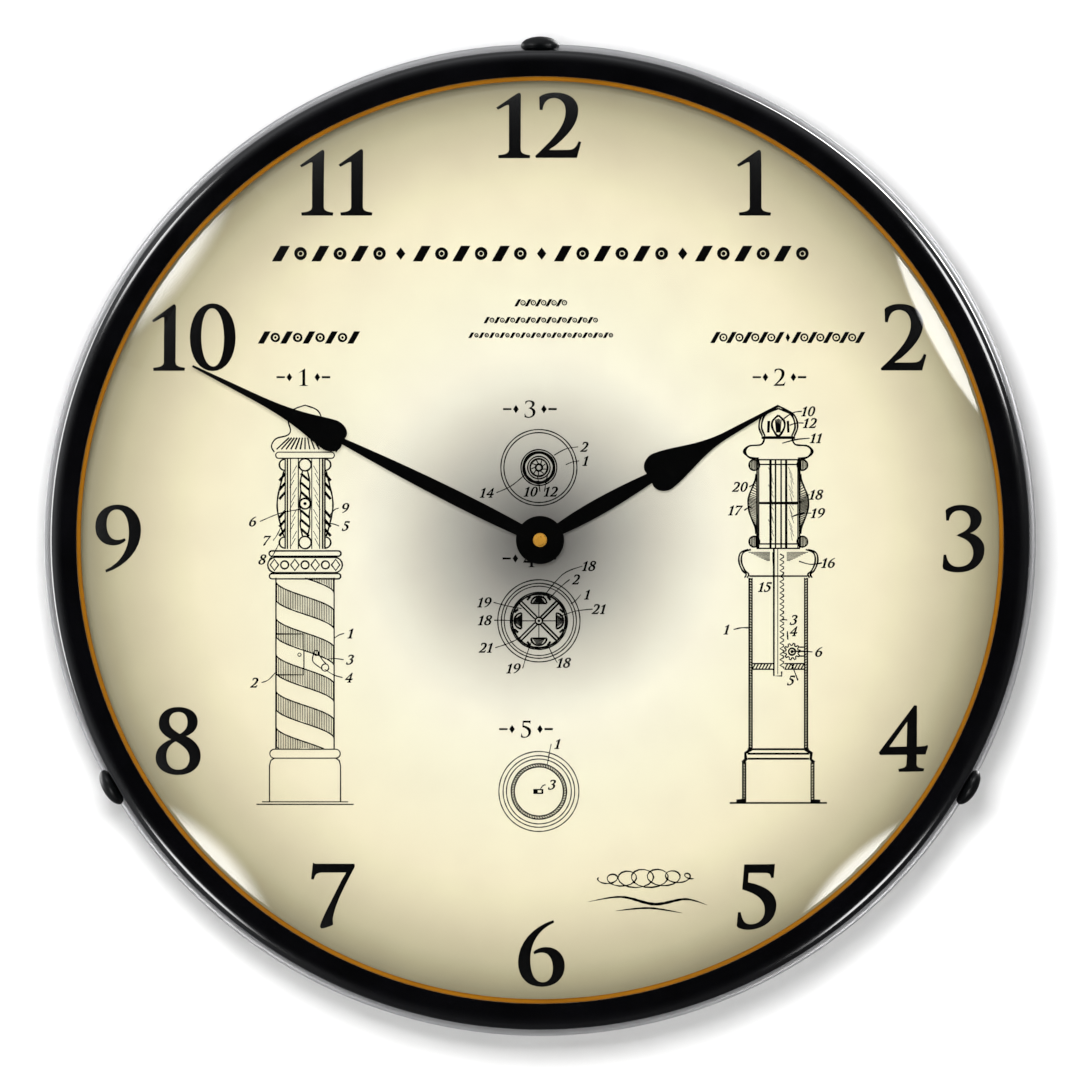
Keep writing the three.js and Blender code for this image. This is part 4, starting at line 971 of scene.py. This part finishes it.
def pole_section():
    """The same pole cut open: lamp, lantern, central rod and the rack and pinion that lift it."""
    sheet = Print("dial_pole_section", SECTION_X, pen=1.9)
    for grow in (0.0, 0.9):
        dome = [(0, 47.0 + grow), (4.6 + grow, 44.8), (6.0 + grow, 40.6), (4.8 + grow, 37.2)]
        brim = [(4.8, 37.2), (6.0, 34.2), (10.4, 33.6), (11.8 + grow * 0.6, 31.6), (10.4, 29.6),
                (7.0, 29.2 - grow)]
        for edge in (dome, brim):
            sheet.pair(smooth(edge), 0.34)
    sheet.pair(smooth([(0, 44.6), (2.0, 42.6), (2.2, 40.4), (1.0, 38.0), (0, 37.0)]), 0.4)
    for k in range(5):
        sheet.line([(-1.0 + 0.5 * k, 43.4 - 0.2 * abs(k - 2)), (-0.6 + 0.3 * k, 38.4)], 0.22)
    sheet.pair([(3.4, 42.6), (3.6, 38.4)], 0.7, taper=True)
    sheet.rule(6.0, 36.6, 0.6)
    section_lantern(sheet)
    collar = [(9.8, LAMP_FOOT - 0.2), (12.6, -4.6), (13.2, -7.6), (12.0, -10.8), (10.6, -12.2),
              (11.2, POLE_TOP)]
    for grow in (0.0, 0.9):
        sheet.pair([(p.x + grow, p.y) for p in smooth(collar, 7)], 0.32)
    for k in range(8):
        z = -4.4 - 0.42 * k
        sheet.pair([(3.0, z), (10.6 - 0.9 * k, z)], 0.2, taper=True)
    sheet.rule(10.4, POLE_TOP + 0.6)
    hatched_wall(sheet, POLE_HALF - 1.0, POLE_TOP, POLE_FOOT)
    hatched_wall(sheet, BASE_HALF - 1.0, -79.4, BASE_FOOT)
    for z in (POLE_FOOT, -76.4, -78.2):
        sheet.rule(11.0, z, 0.34)
    sheet.pair([(9.6, POLE_FOOT), (11.8, -76.2), (11.6, -78.4), (12.8, -79.6)], 0.6)
    sheet.rule(17.4, BASE_FOOT - 0.4, 0.36)
    sheet.pair([(11.6, BASE_FOOT + 0.3), (15.0, BASE_FOOT + 0.1)], 0.8)
    rack_and_pinion(sheet)
    sheet.notes(
        ("10", 10.8, 46.0, 2.0, 43.4, 0.8), ("12", 11.4, 41.8, 4.0, 41.0, 0.4),
        ("11", 13.6, 36.4, 1.4, 34.6, 0.4), ("20", -13.6, 19.0, -7.6, 22.6, -0.8),
        ("18", 13.6, 16.2, 9.4, 15.0, 0.4), ("19", 14.2, 9.6, 5.0, 8.4, 0.5),
        ("17", -15.4, 10.6, -9.4, 11.8, 0.3), ("16", 18.0, -8.2, 7.4, -7.6, -0.8),
        ("15", -4.8, -16.8, -2.0, -4.4, 2.0), ("3", 5.6, -28.6, 1.0, -28.6, 0.1),
        ("6", 14.6, -40.0, 4.4, -39.8, 0.1), ("1", -18.4, -32.0, -10.6, -31.4, 0.3),
        ("4", 5.6, -32.6, 3.4, -35.6, 0.0), ("5", 4.6, -50.2, 4.8, -44.4, 0.0),
    )
    sheet.build()


def section_lantern(sheet):
    for d, width in ((1.0, 0.3), (2.6, 0.24), (3.0, 0.24), (7.0, 0.24), (7.6, 0.34)):
        sheet.pair([(d, LAMP_TOP - 0.4), (d, LAMP_FOOT + 0.4)], width)
    for z in (LAMP_TOP - 0.5, LAMP_TOP - 2.2, LAMP_FOOT + 1.8, LAMP_FOOT + 0.2):
        sheet.rule(7.8, z)
    sheet.rule(7.0, 13.2, 0.5)
    spindle = [(8.0, 23.6), (8.4, 21.0), (10.4, 16.0), (10.8, 12.8), (10.2, 9.4), (8.4, 4.8), (8.0, 2.2)]
    outer = smooth(spindle, 6)
    sheet.pair(outer, 0.32)
    for p in outer[2:-2]:
        sheet.pair([(7.6, p.y - 0.6), (p.x - 0.1, p.y + 0.4)], 0.2)
    ball = 1.9
    for z in (LAMP_TOP - 2.4, LAMP_FOOT + 2.6):
        for x in (-8.6, 8.6):
            sheet.ring(x, z, ball, 0.3, 20)
            for step in range(-3, 4):
                dx = 0.5 * step
                reach = 0.9 * math.sqrt(ball ** 2 - dx ** 2)
                sheet.line([(x + dx, z - reach), (x + dx, z + reach)], 0.18)
    for x in (-3.6, 3.6):
        for k in range(16):
            top = 26.0 - 1.55 * k
            sheet.line([(x + 0.3 * (k % 4), top), (x + 1.4 + 0.3 * (k % 3), top - 3.0)], 0.14, taper=True)


def rack_and_pinion(sheet):
    """The rod down the middle with rack teeth on its right, its pinion, and the plate that guides it."""
    foot, rod = -48.6, -1.6
    sheet.line([(rod, LAMP_FOOT), (rod, foot), (1.2, foot), (1.2, foot + 1.6)], 0.34)
    sheet.line([(-0.2, LAMP_FOOT), (-0.2, foot + 0.6)], 0.16)
    count = 21
    pitch = (LAMP_FOOT - 3.6 - foot) / count
    rack = []
    for k in range(count):
        z = LAMP_FOOT - 1.8 - pitch * k
        rack += [(0.6, z), (1.9, z - 0.35 * pitch), (1.9, z - 0.6 * pitch)]
    sheet.line(rack, 0.26)
    x, z = 4.9, -39.9
    teeth = 10
    radii = (3.0, 3.0, 2.2, 2.2) * teeth
    corners = [Vector((x, z)) + polar(radius, TURN * k / len(radii)) for k, radius in enumerate(radii)]
    sheet.line(corners, 0.26, closed=True)
    sheet.ring(x, z, 1.2, 0.34, 24)
    sheet.dot(x, z, 0.6)
    for dz in (-1.6, 1.6):
        sheet.line([(x + 2.6, z + dz), (POLE_HALF - 1.0, z + dz)], 0.26)
    for z in (-44.2, -46.2):
        for low, high in ((-9.4, rod), (2.2, 9.4)):
            sheet.line([(low, z), (high, z)], 0.28)
    for k in range(16):
        x = -9.2 + 1.16 * k
        if not rod - 1.0 < x < 1.6:
            sheet.line([(x, -46.0), (x + 0.9, -44.4)], 0.26)


def plan_views():
    """Three views from above, one over the other: the lamp, the lantern's glazing and the column."""
    sheet = Print("dial_plan_views", PLANS_X)
    sheet.move_to(25.9)
    lamp_plan(sheet)
    sheet.move_to(-28.9)
    glazing_plan(sheet)
    sheet.move_to(-89.9)
    column_plan(sheet)
    sheet.build()


def rings(sheet, *rows):
    """Circles round one middle, each given by its radius and the width of its line."""
    for radius, width in rows:
        sheet.ring(0, 0, radius, width, 64)


def lamp_plan(sheet):
    rings(sheet, (13.6, 0.3), (12.5, 0.3), (6.4, 0.34), (5.4, 0.8), (4.0, 0.34), (3.1, 0.5))
    sheet.ring(0, 0, 1.2, 0.5, 20)
    blades = 9
    for a in (TURN * k / blades for k in range(blades)):
        sheet.line([(0.7 * math.cos(a), 0.9 * math.sin(a)), polar(2.7, a + 0.5)], 0.4, taper=True)
    sheet.notes(
        ("2", 16.4, 7.4, 5.4, 4.4, 0.8), ("1", 16.8, 2.4, 9.6, 1.0, 0.3),
        ("14", -18.4, -9.0, -4.4, -2.0, -1.0), ("10", -2.8, -8.6, -0.6, -2.6, 0.2),
        ("12", 4.4, -8.6, 3.8, -1.4, 1.6),
    )


def column_plan(sheet):
    rings(sheet, (14.3, 0.28), (12.8, 0.28), (11.6, 0.28), (9.9, 0.34), (8.8, 0.34))
    strokes = 64
    for a in (TURN * k / strokes for k in range(strokes)):
        sheet.line([polar(8.9, a), polar(9.8, a + 0.06)])
    sheet.fill([(-2.0, -0.9), (1.6, -0.9), (1.6, 0.9), (-2.0, 0.9)],
               [(-0.4, -0.4), (-0.4, 0.4), (0.9, 0.4), (0.9, -0.4)])
    sheet.notes(("1", 6.8, 17.0, 3.0, 9.6, 0.2), ("3", 4.8, 2.4, 0.6, 1.0, 0.4))


def glazing_plan(sheet):
    """Crossed glazing bars from a small hub, with a shaded half-round spindle between each pair."""
    rings(sheet, (14.7, 0.3), (13.4, 0.3), (12.4, 0.26), (10.2, 0.34), (9.6, 0.5))
    sheet.ring(0, 0, 1.3, 0.45, 20)
    sheet.dot(0, 0, 0.5)
    half_turn = [math.pi * i / 10 for i in range(11)]
    for k in range(4):
        between = TURN * (k + 0.5) / 4
        for across in (-0.55, 0.55):
            sheet.line([polar(d, between) + polar(across, between + TURN / 4) for d in (1.5, 9.3)], 0.45)
        out, over = polar(1, TURN * k / 4), polar(1, TURN * (k + 1) / 4)
        sheet.line([out * 1.4, out * 6.0], 0.26)
        sheet.line([out * 6.2 - over * 2.8, out * 6.2 + over * 2.8], 0.4)
        sheet.line([out * (6.2 + 2.6 * math.sin(a)) + over * 2.8 * math.cos(a) for a in half_turn], 0.5)
        for row in range(1, 8):
            level, reach = out * (6.2 + 0.32 * row), over * (2.4 - 0.22 * row)
            sheet.line([level - reach, level + reach], 0.22)
        for side in (-1, 1):
            corner = out * 7.4 + over * side * 4.2
            sheet.line([corner, corner + out * 1.4 - over * side * 1.2], 0.8, taper=True)
    sheet.notes(
        ("18", 18.0, 19.6, 1.4, 8.4, 2.6), ("2", 13.4, 14.8, 3.8, 8.0, 0.4),
        ("1", 17.4, 9.4, 11.4, 6.0, -0.4), ("21", 21.6, 4.2, 7.4, 1.6, 0.6),
        ("19", -19.4, 6.6, -6.2, 4.4, -0.2), ("18", -19.2, 0.2, -8.6, 0.0, 0.1),
        ("21", -18.8, -9.6, -6.4, -6.0, -0.3), ("19", -9.0, -17.0, -2.4, -6.6, 0.4),
        ("18", 9.0, -15.0, 3.4, -9.0, -0.4),
    )


# ---- Hands and small turned pieces -----------------------------------------------------------


def spade_hand(length, hub, arm_start, arm_belly, arm_end, spade, lobe_at, lobe, tip):
    """A spade hand pointing at 12: leaf-shaped arm, lobes that curl back, and a long fine point."""
    hub_z = math.sqrt(hub ** 2 - arm_start ** 2)
    neck_z = (lobe_at + length) / 2 + 1
    belly_x, belly_z = arm_belly * 1.6 - arm_start / 2, (hub_z + spade) / 2 * 0.85
    side = (
        f"M{arm_start} {hub_z} Q{belly_x} {belly_z} {arm_end} {spade} "
        f"C{lobe * 0.75} {spade - 1} {lobe * 1.12} {(spade + lobe_at) / 2} {lobe} {lobe_at} "
        f"C{lobe * 0.85} {lobe_at + lobe} {tip * 5} {lobe_at + lobe * 2} {tip * 3.2} {neck_z} L{tip} {length}"
    )
    right = read_outline(side, 16)[0]
    left = [Vector((-p.x, p.y)) for p in reversed(right)]
    open_angle = math.asin(arm_start / hub)
    steps = 48
    sweep = TURN - 2 * open_angle
    round_hub = [Vector((-math.sin(a), math.cos(a))) * hub
                 for a in (open_angle + sweep * k / steps for k in range(1, steps))]
    return [p * MM for p in right + left + round_hub]


HOUR_SHAPE = dict(length=97.9, hub=6.5, arm_start=1.9, arm_belly=3.1, arm_end=1.9,
                  spade=44.9, lobe_at=51.0, lobe=7.0, tip=0.4)
MINUTE_SHAPE = dict(length=138.9, hub=8.6, arm_start=2.2, arm_belly=2.9, arm_end=1.1,
                    spade=78.6, lobe_at=84.6, lobe=5.6, tip=0.4)
HANDS = {  # outline, angle in degrees clockwise from 12, and radius of the bore
    "hour": (HOUR_SHAPE, 60.6, 2.6),
    "minute": (MINUTE_SHAPE, 296.6, 1.6),
}


def build_hands():
    for body, (shape, angle, bore) in HANDS.items():
        node = f"{body}_hand"
        _, front, back = span(node)
        hand = prism(node + "_blade", spade_hand(**shape), front * MM, back * MM, CENTRE @ clockwise(angle))
        cut(hand, drill(bore, front - 1, back + 1, CENTRE, 32))
        soften(hand, 0.16, 3)
        present(hand, "hand_black", node, body)


def build_cap_nut():
    _, front, back = span("hand_cap_nut")
    outline = rounded([
        (1.65, back, 0.1), (2.5, back, 0.2), (2.5, front + 1.25, 0.2), (2.25, front + 1.05, 0.1),
        (2.25, front + 0.8, 0.1), (1.3, front, 0.8), (0, front), (0, front + 0.7), (1.65, front + 0.7, 0.1),
    ])
    present(lathe("brass_cap_nut", outline, TURNED), "brass_plate", "hand_cap_nut", "minute")


def build_bezel_screws():
    """Round black heads with a domed top, on plain shanks."""
    low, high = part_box("bezel_screw_12")
    top, tip = (high.z - CENTRE_Z) / MM, (low.z - CENTRE_Z) / MM
    radius = (high.x - low.x) / 2 / MM
    shank = 2.0
    under = top - 4.9
    steps = 14
    crown = [(radius * math.cos(a), under + 1.5 + 3.4 * math.sin(a))
             for a in (math.pi / 2 * k / steps for k in range(steps))]
    outline = rounded([(0, tip), (shank - 0.4, tip, 0.2), (shank, tip + 0.6, 0.2), (shank, under),
                       (radius - 1.2, under, 0.4), (radius - 0.3, under + 0.7, 0.2), *crown, (0, top)])
    for hour in SCREW_HOURS:
        screw = lathe(f"bezel_screw_head_{hour}", outline, TURNED, radial(hour, SCREW_Y))
        present(screw, "black_knob", f"bezel_screw_{hour}", f"screw_{hour}")


# ---- Rear fittings ---------------------------------------------------------------------------


def build_rear_cover():
    """The moulded cap: stepped flange, five vents in a dished middle, and two prising notches."""
    _, front, back = span("rear_cover")
    flange = 58.0
    collar, dish, step, sheet = 51.2, 31.0, 0.5, 1.5
    outline = rounded([
        (0, back - step), (dish, back - step), (dish + 1, back, 0.3), (flange - 2, back, 0.3),
        (flange, back - step, 0.4), (flange, back - sheet, 0.2), (collar, back - sheet, 0.2),
        (collar, front, 0.3), (49.5, front, 0.3), (49.5, back - sheet, 0.3), (0, back - sheet),
    ])
    cover = lathe("rear_cover_cap", outline)
    vents = [box_outline(22 - 3 * abs(row), 1.4, 1.39, 0, 9 * row) for row in range(-2, 3)]
    notches = [box_outline(3, 5, 1.2, side * flange) for side in (-1, 1)]
    cut(cover, *[prism("cutter", opening, (back - 4) * MM, (back + 2) * MM) for opening in vents + notches])
    soften(cover, 0.15)
    present(cover, "black_plastic", "rear_cover", "cover")


def build_bumpers():
    for name in ("top_left", "top_right", "bottom"):
        node = f"wall_bumper_{name}"
        _, front, back = span(node)
        outline = rounded([(0, front), (7.5, front, 0.3), (7.2, front + 1.2, 0.3), (6.5, back, 0.7),
                           (2.2, back, 0.3), (1.8, back - 0.6, 0.2), (0, back - 0.6)])
        low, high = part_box(node)
        place = Matrix.Translation(((low.x + high.x) / 2, 0, (low.z + high.z) / 2))
        present(lathe(f"bumper_{name}", outline, TURNED, place), "black_rubber", node)


def build_jack():
    """The power socket's barrel, with a moulded ring round its mouth."""
    outline = rounded([
        (0, -13), (5, -13, 0.4), (5.3, 0.3), (7.2, 0.3, 0.3), (7.2, 1.5, 0.4), (6.2, 2, 0.3), (5.2, 2.0, 0.2),
        (4.9, 1.6, 0.2), (4.1, 1.6, 0.2), (3.8, 2, 0.2), (3.15, 2, 0.3), (3.15, -8, 0.2), (1, -8, 0.2),
        (1, 0.6, 0.3), (0.5, 1.2, 0.3), (0, 1.2),
    ])
    present(lathe("power_socket", outline, TURNED, on_slope(JACK_HOUR)), "black_knob", "power_jack")


def dress_cad_nodes():
    """Every CAD node that still shows: its slot's material, smooth curves and rounded edges. The dial spacer
    is painted a darker olive than its white plastic, as painted shade at the rim of the dial.
    """
    slots = {row["node"]: row["material_slot"] for row in frame["record"]["subparts"]}
    fine_edges = {  # millimetres
        "hanger_plate": 0.25, "switch_frame": 0.3, "switch_rocker": 0.35, "set_knob": 0.15, "stator": 0.12,
        "movement_front_shell": 0.4, "movement_back_shell": 0.3, "circuit_board": 0.15,
    }
    for name, node in frame["nodes"].items():
        if node.hide_render:
            continue
        paint(node, SHADED_PLASTIC if name == "dial_spacer" else MATERIAL[slots[name]])
        node.data.shade_smooth()
        node.data.set_sharp_from_angle(angle=math.radians(32))
        if name in fine_edges:
            soften(node, fine_edges[name])


# ---- Stage: wall, floor, lights and camera ---------------------------------------------------

FLOOR_Z = CENTRE_Z - 0.75
STAGE_REACH = 8.0
WALL_GAP = 3.5  # millimetres from the back of the case to the wall
EYE = Vector((0, 0, CENTRE_Z))


def quad(name, corners):
    mesh = bpy.data.meshes.new(name)
    mesh.from_pydata(corners, [], [(0, 1, 2, 3)])
    return add_object(name, mesh)


def stage_plane(name, corners, code):
    """A plain surface that is seen from its front only, and lets light from behind it through."""
    made = quad(name, corners)
    s = Shader(name)
    s.set(Base_Color=linear(code), Roughness=0.9, Specular_IOR_Level=0.0)
    back = s.add("ShaderNodeNewGeometry").outputs["Backfacing"]
    shadow = s.add("ShaderNodeLightPath").outputs["Is Shadow Ray"]
    clear = s.add("ShaderNodeBsdfTransparent").outputs[0]
    s.show(s.add("ShaderNodeMixShader", {0: s.math("MAXIMUM", back, shadow), 1: s.bsdf.outputs[0], 2: clear}))
    paint(made, s.material)
    made.visible_glossy = False
    made.visible_transmission = False


def aim(target, location, at):
    """Places an object so that its -Z axis looks at a point."""
    target.location = location
    target.rotation_mode = "QUATERNION"
    target.rotation_quaternion = (Vector(at) - Vector(location)).to_track_quat("-Z", "Y")


def soft_light(name, location, size, power, glossy=True):
    """A square soft light that looks at the dial. It can be kept out of reflections."""
    data = bpy.data.lights.new(name, "AREA")
    data.shape = "RECTANGLE"
    data.size = data.size_y = size
    data.energy = power
    lamp = add_object(name, data)
    aim(lamp, location, EYE)
    lamp.visible_camera = False
    lamp.visible_glossy = glossy
    lamp.visible_transmission = False


# The softboxes that the edge of the dome mirrors, as seen from the dial: degrees counter-clockwise
# from +X, half width in degrees, reach in front of the wall in metres, and how soft the edge is.
SOFTBOXES = (
    (143.0, 14.0, 1.18, 0.5),
    (27.6, 14.0, 1.08, 0.1),
    (-46.5, 11.0, 1.02, 0.3),
    (224.5, 11.5, 1.15, 0.4),
)
SOFTBOX_DISTANCE = 1.0
SOFTBOX_STRENGTH = 17.0
SOFTBOX_CUT = 0.38  # the share of its reach at which a softbox begins, so that the back doesn't mirror it


def softbox(angle, half_width, reach, softness):
    """The front end of an oval lamp beside the clock that only shows in reflections. It fades at its edge."""
    name = f"softbox_{angle:.0f}"
    box = quad(name, [(-1, SOFTBOX_CUT, 0), (1, SOFTBOX_CUT, 0), (1, 1, 0), (-1, 1, 0)])
    a = math.radians(angle)
    out = Vector((math.cos(a), 0, math.sin(a)))
    half = SOFTBOX_DISTANCE * math.tan(math.radians(half_width))
    axes = Matrix((out.cross(Vector((0, -1, 0))) * half, Vector((0, -reach, 0)), out)).transposed()
    box.matrix_world = Matrix.Translation(EYE + out * SOFTBOX_DISTANCE) @ axes.to_4x4()
    s = Shader(name)
    from_middle = s.add("ShaderNodeVectorMath", {0: s.place}, operation="LENGTH").outputs["Value"]
    fade = s.add("ShaderNodeMapRange", {"Value": from_middle, "From Min": 1.0, "From Max": 1.0 - softness,
                                        "To Max": SOFTBOX_STRENGTH}, interpolation_type="SMOOTHSTEP")
    s.show(s.add("ShaderNodeEmission", {"Strength": fade.outputs[0]}))
    paint(box, s.material)
    for ray in ("camera", "diffuse", "transmission", "shadow"):
        setattr(box, f"visible_{ray}", False)


def build_lights():
    soft_light("key", (-0.08, -2.0, CENTRE_Z + 0.19), 0.36, 35, glossy=False)
    soft_light("fill", (0.3, -3.0, CENTRE_Z + 0.3), 2.2, 2, glossy=False)
    soft_light("rear", (1.4, 2.6, CENTRE_Z + 1.3), 1.4, 60)
    soft_light("rear_fill", (-2.0, 2.0, CENTRE_Z + 0.2), 1.6, 30)
    for row in SOFTBOXES:
        softbox(*row)


WORLD_FILL = 0.24


def build_world():
    """A pale room to the camera, and an even fill to rays that a matt surface has scattered. To all
    others it is dark straight in front, so that black stays black, and paler to the sides, most of
    all at the upper left."""
    world = bpy.data.worlds.new("room")
    bpy.context.scene.world = world
    world.use_nodes = True
    tree = world.node_tree
    add = partial(add_node, tree)

    def between(value, start, end, low, high):
        """Maps start to end onto low to high, and no further."""
        return add("ShaderNodeMapRange", {"Value": value, "From Min": start, "From Max": end,
                                          "To Min": low, "To Max": high}).outputs[0]

    direction = add("ShaderNodeTexCoord").outputs["Generated"]
    depth = add("ShaderNodeSeparateXYZ", {"Vector": direction}).outputs["Y"]
    to_upper_left = add("ShaderNodeVectorMath", {0: direction, 1: (-0.6, 0.0, 0.8)}, operation="DOT_PRODUCT")
    sideways = between(depth, -0.98, -0.1, 0.006, 0.32)
    behind = between(depth, -0.1, 0.5, 1.0, 0.35)
    lift = between(to_upper_left.outputs["Value"], -0.6, 0.9, 0.5, 3.2)
    around = add("ShaderNodeMath", {0: sideways, 1: behind}, operation="MULTIPLY")
    level = add("ShaderNodeMath", {0: around.outputs[0], 1: lift}, operation="MULTIPLY")
    mirror = add("ShaderNodeBackground", {"Color": linear("#f4f6fa"), "Strength": level.outputs[0]})
    fill = add("ShaderNodeBackground", {"Color": (1, 1, 1, 1), "Strength": WORLD_FILL})
    seen = add("ShaderNodeBackground", {"Color": linear("#f4f4f4"), "Strength": 1.0})
    path = add("ShaderNodeLightPath").outputs
    scattered = add("ShaderNodeMath", {0: path["Diffuse Depth"], 1: 0.5}, operation="GREATER_THAN")
    unseen = add("ShaderNodeMixShader", {0: scattered.outputs[0], 1: mirror.outputs[0], 2: fill.outputs[0]})
    whole = add("ShaderNodeMixShader", {0: path["Is Camera Ray"], 1: unseen.outputs[0], 2: seen.outputs[0]})
    tree.links.new(whole.outputs[0], tree.nodes["World Output"].inputs["Surface"])


VIEW_WIDTH = 0.3871  # metres across the picture at the clock
VIEW_DISTANCE = 8.0


def build_camera():
    data = bpy.data.cameras.new("camera")
    data.lens = data.sensor_width * VIEW_DISTANCE / VIEW_WIDTH
    data.clip_end = 60
    camera = add_object("camera", data)
    aim(camera, (0, SHOULDER * MM - VIEW_DISTANCE, CENTRE_Z), EYE)
    bpy.context.scene.camera = camera


def build_stage():
    wall_y = (CASE_BACK + WALL_GAP) * MM
    corners = ((-1, -1), (1, -1), (1, 1), (-1, 1))
    stage_plane("wall", [(x * STAGE_REACH, wall_y, STAGE_REACH if z > 0 else FLOOR_Z) for x, z in corners],
                "#f6f6f6")
    stage_plane("floor", [(x * STAGE_REACH, y * STAGE_REACH, FLOOR_Z) for x, y in corners], "#efefed")


# ---- Everything in order ---------------------------------------------------------------------

build_camera()
build_case()
build_bezel()
build_bead()
build_glass()
build_dial()
print_numerals()
print_ornaments()
pole_outside()
pole_section()
plan_views()
build_hands()
build_cap_nut()
build_bezel_screws()
build_rear_cover()
build_bumpers()
build_jack()
dress_cad_nodes()
build_stage()
build_lights()
build_world()
bpy.context.scene.view_settings.view_transform = "Standard"
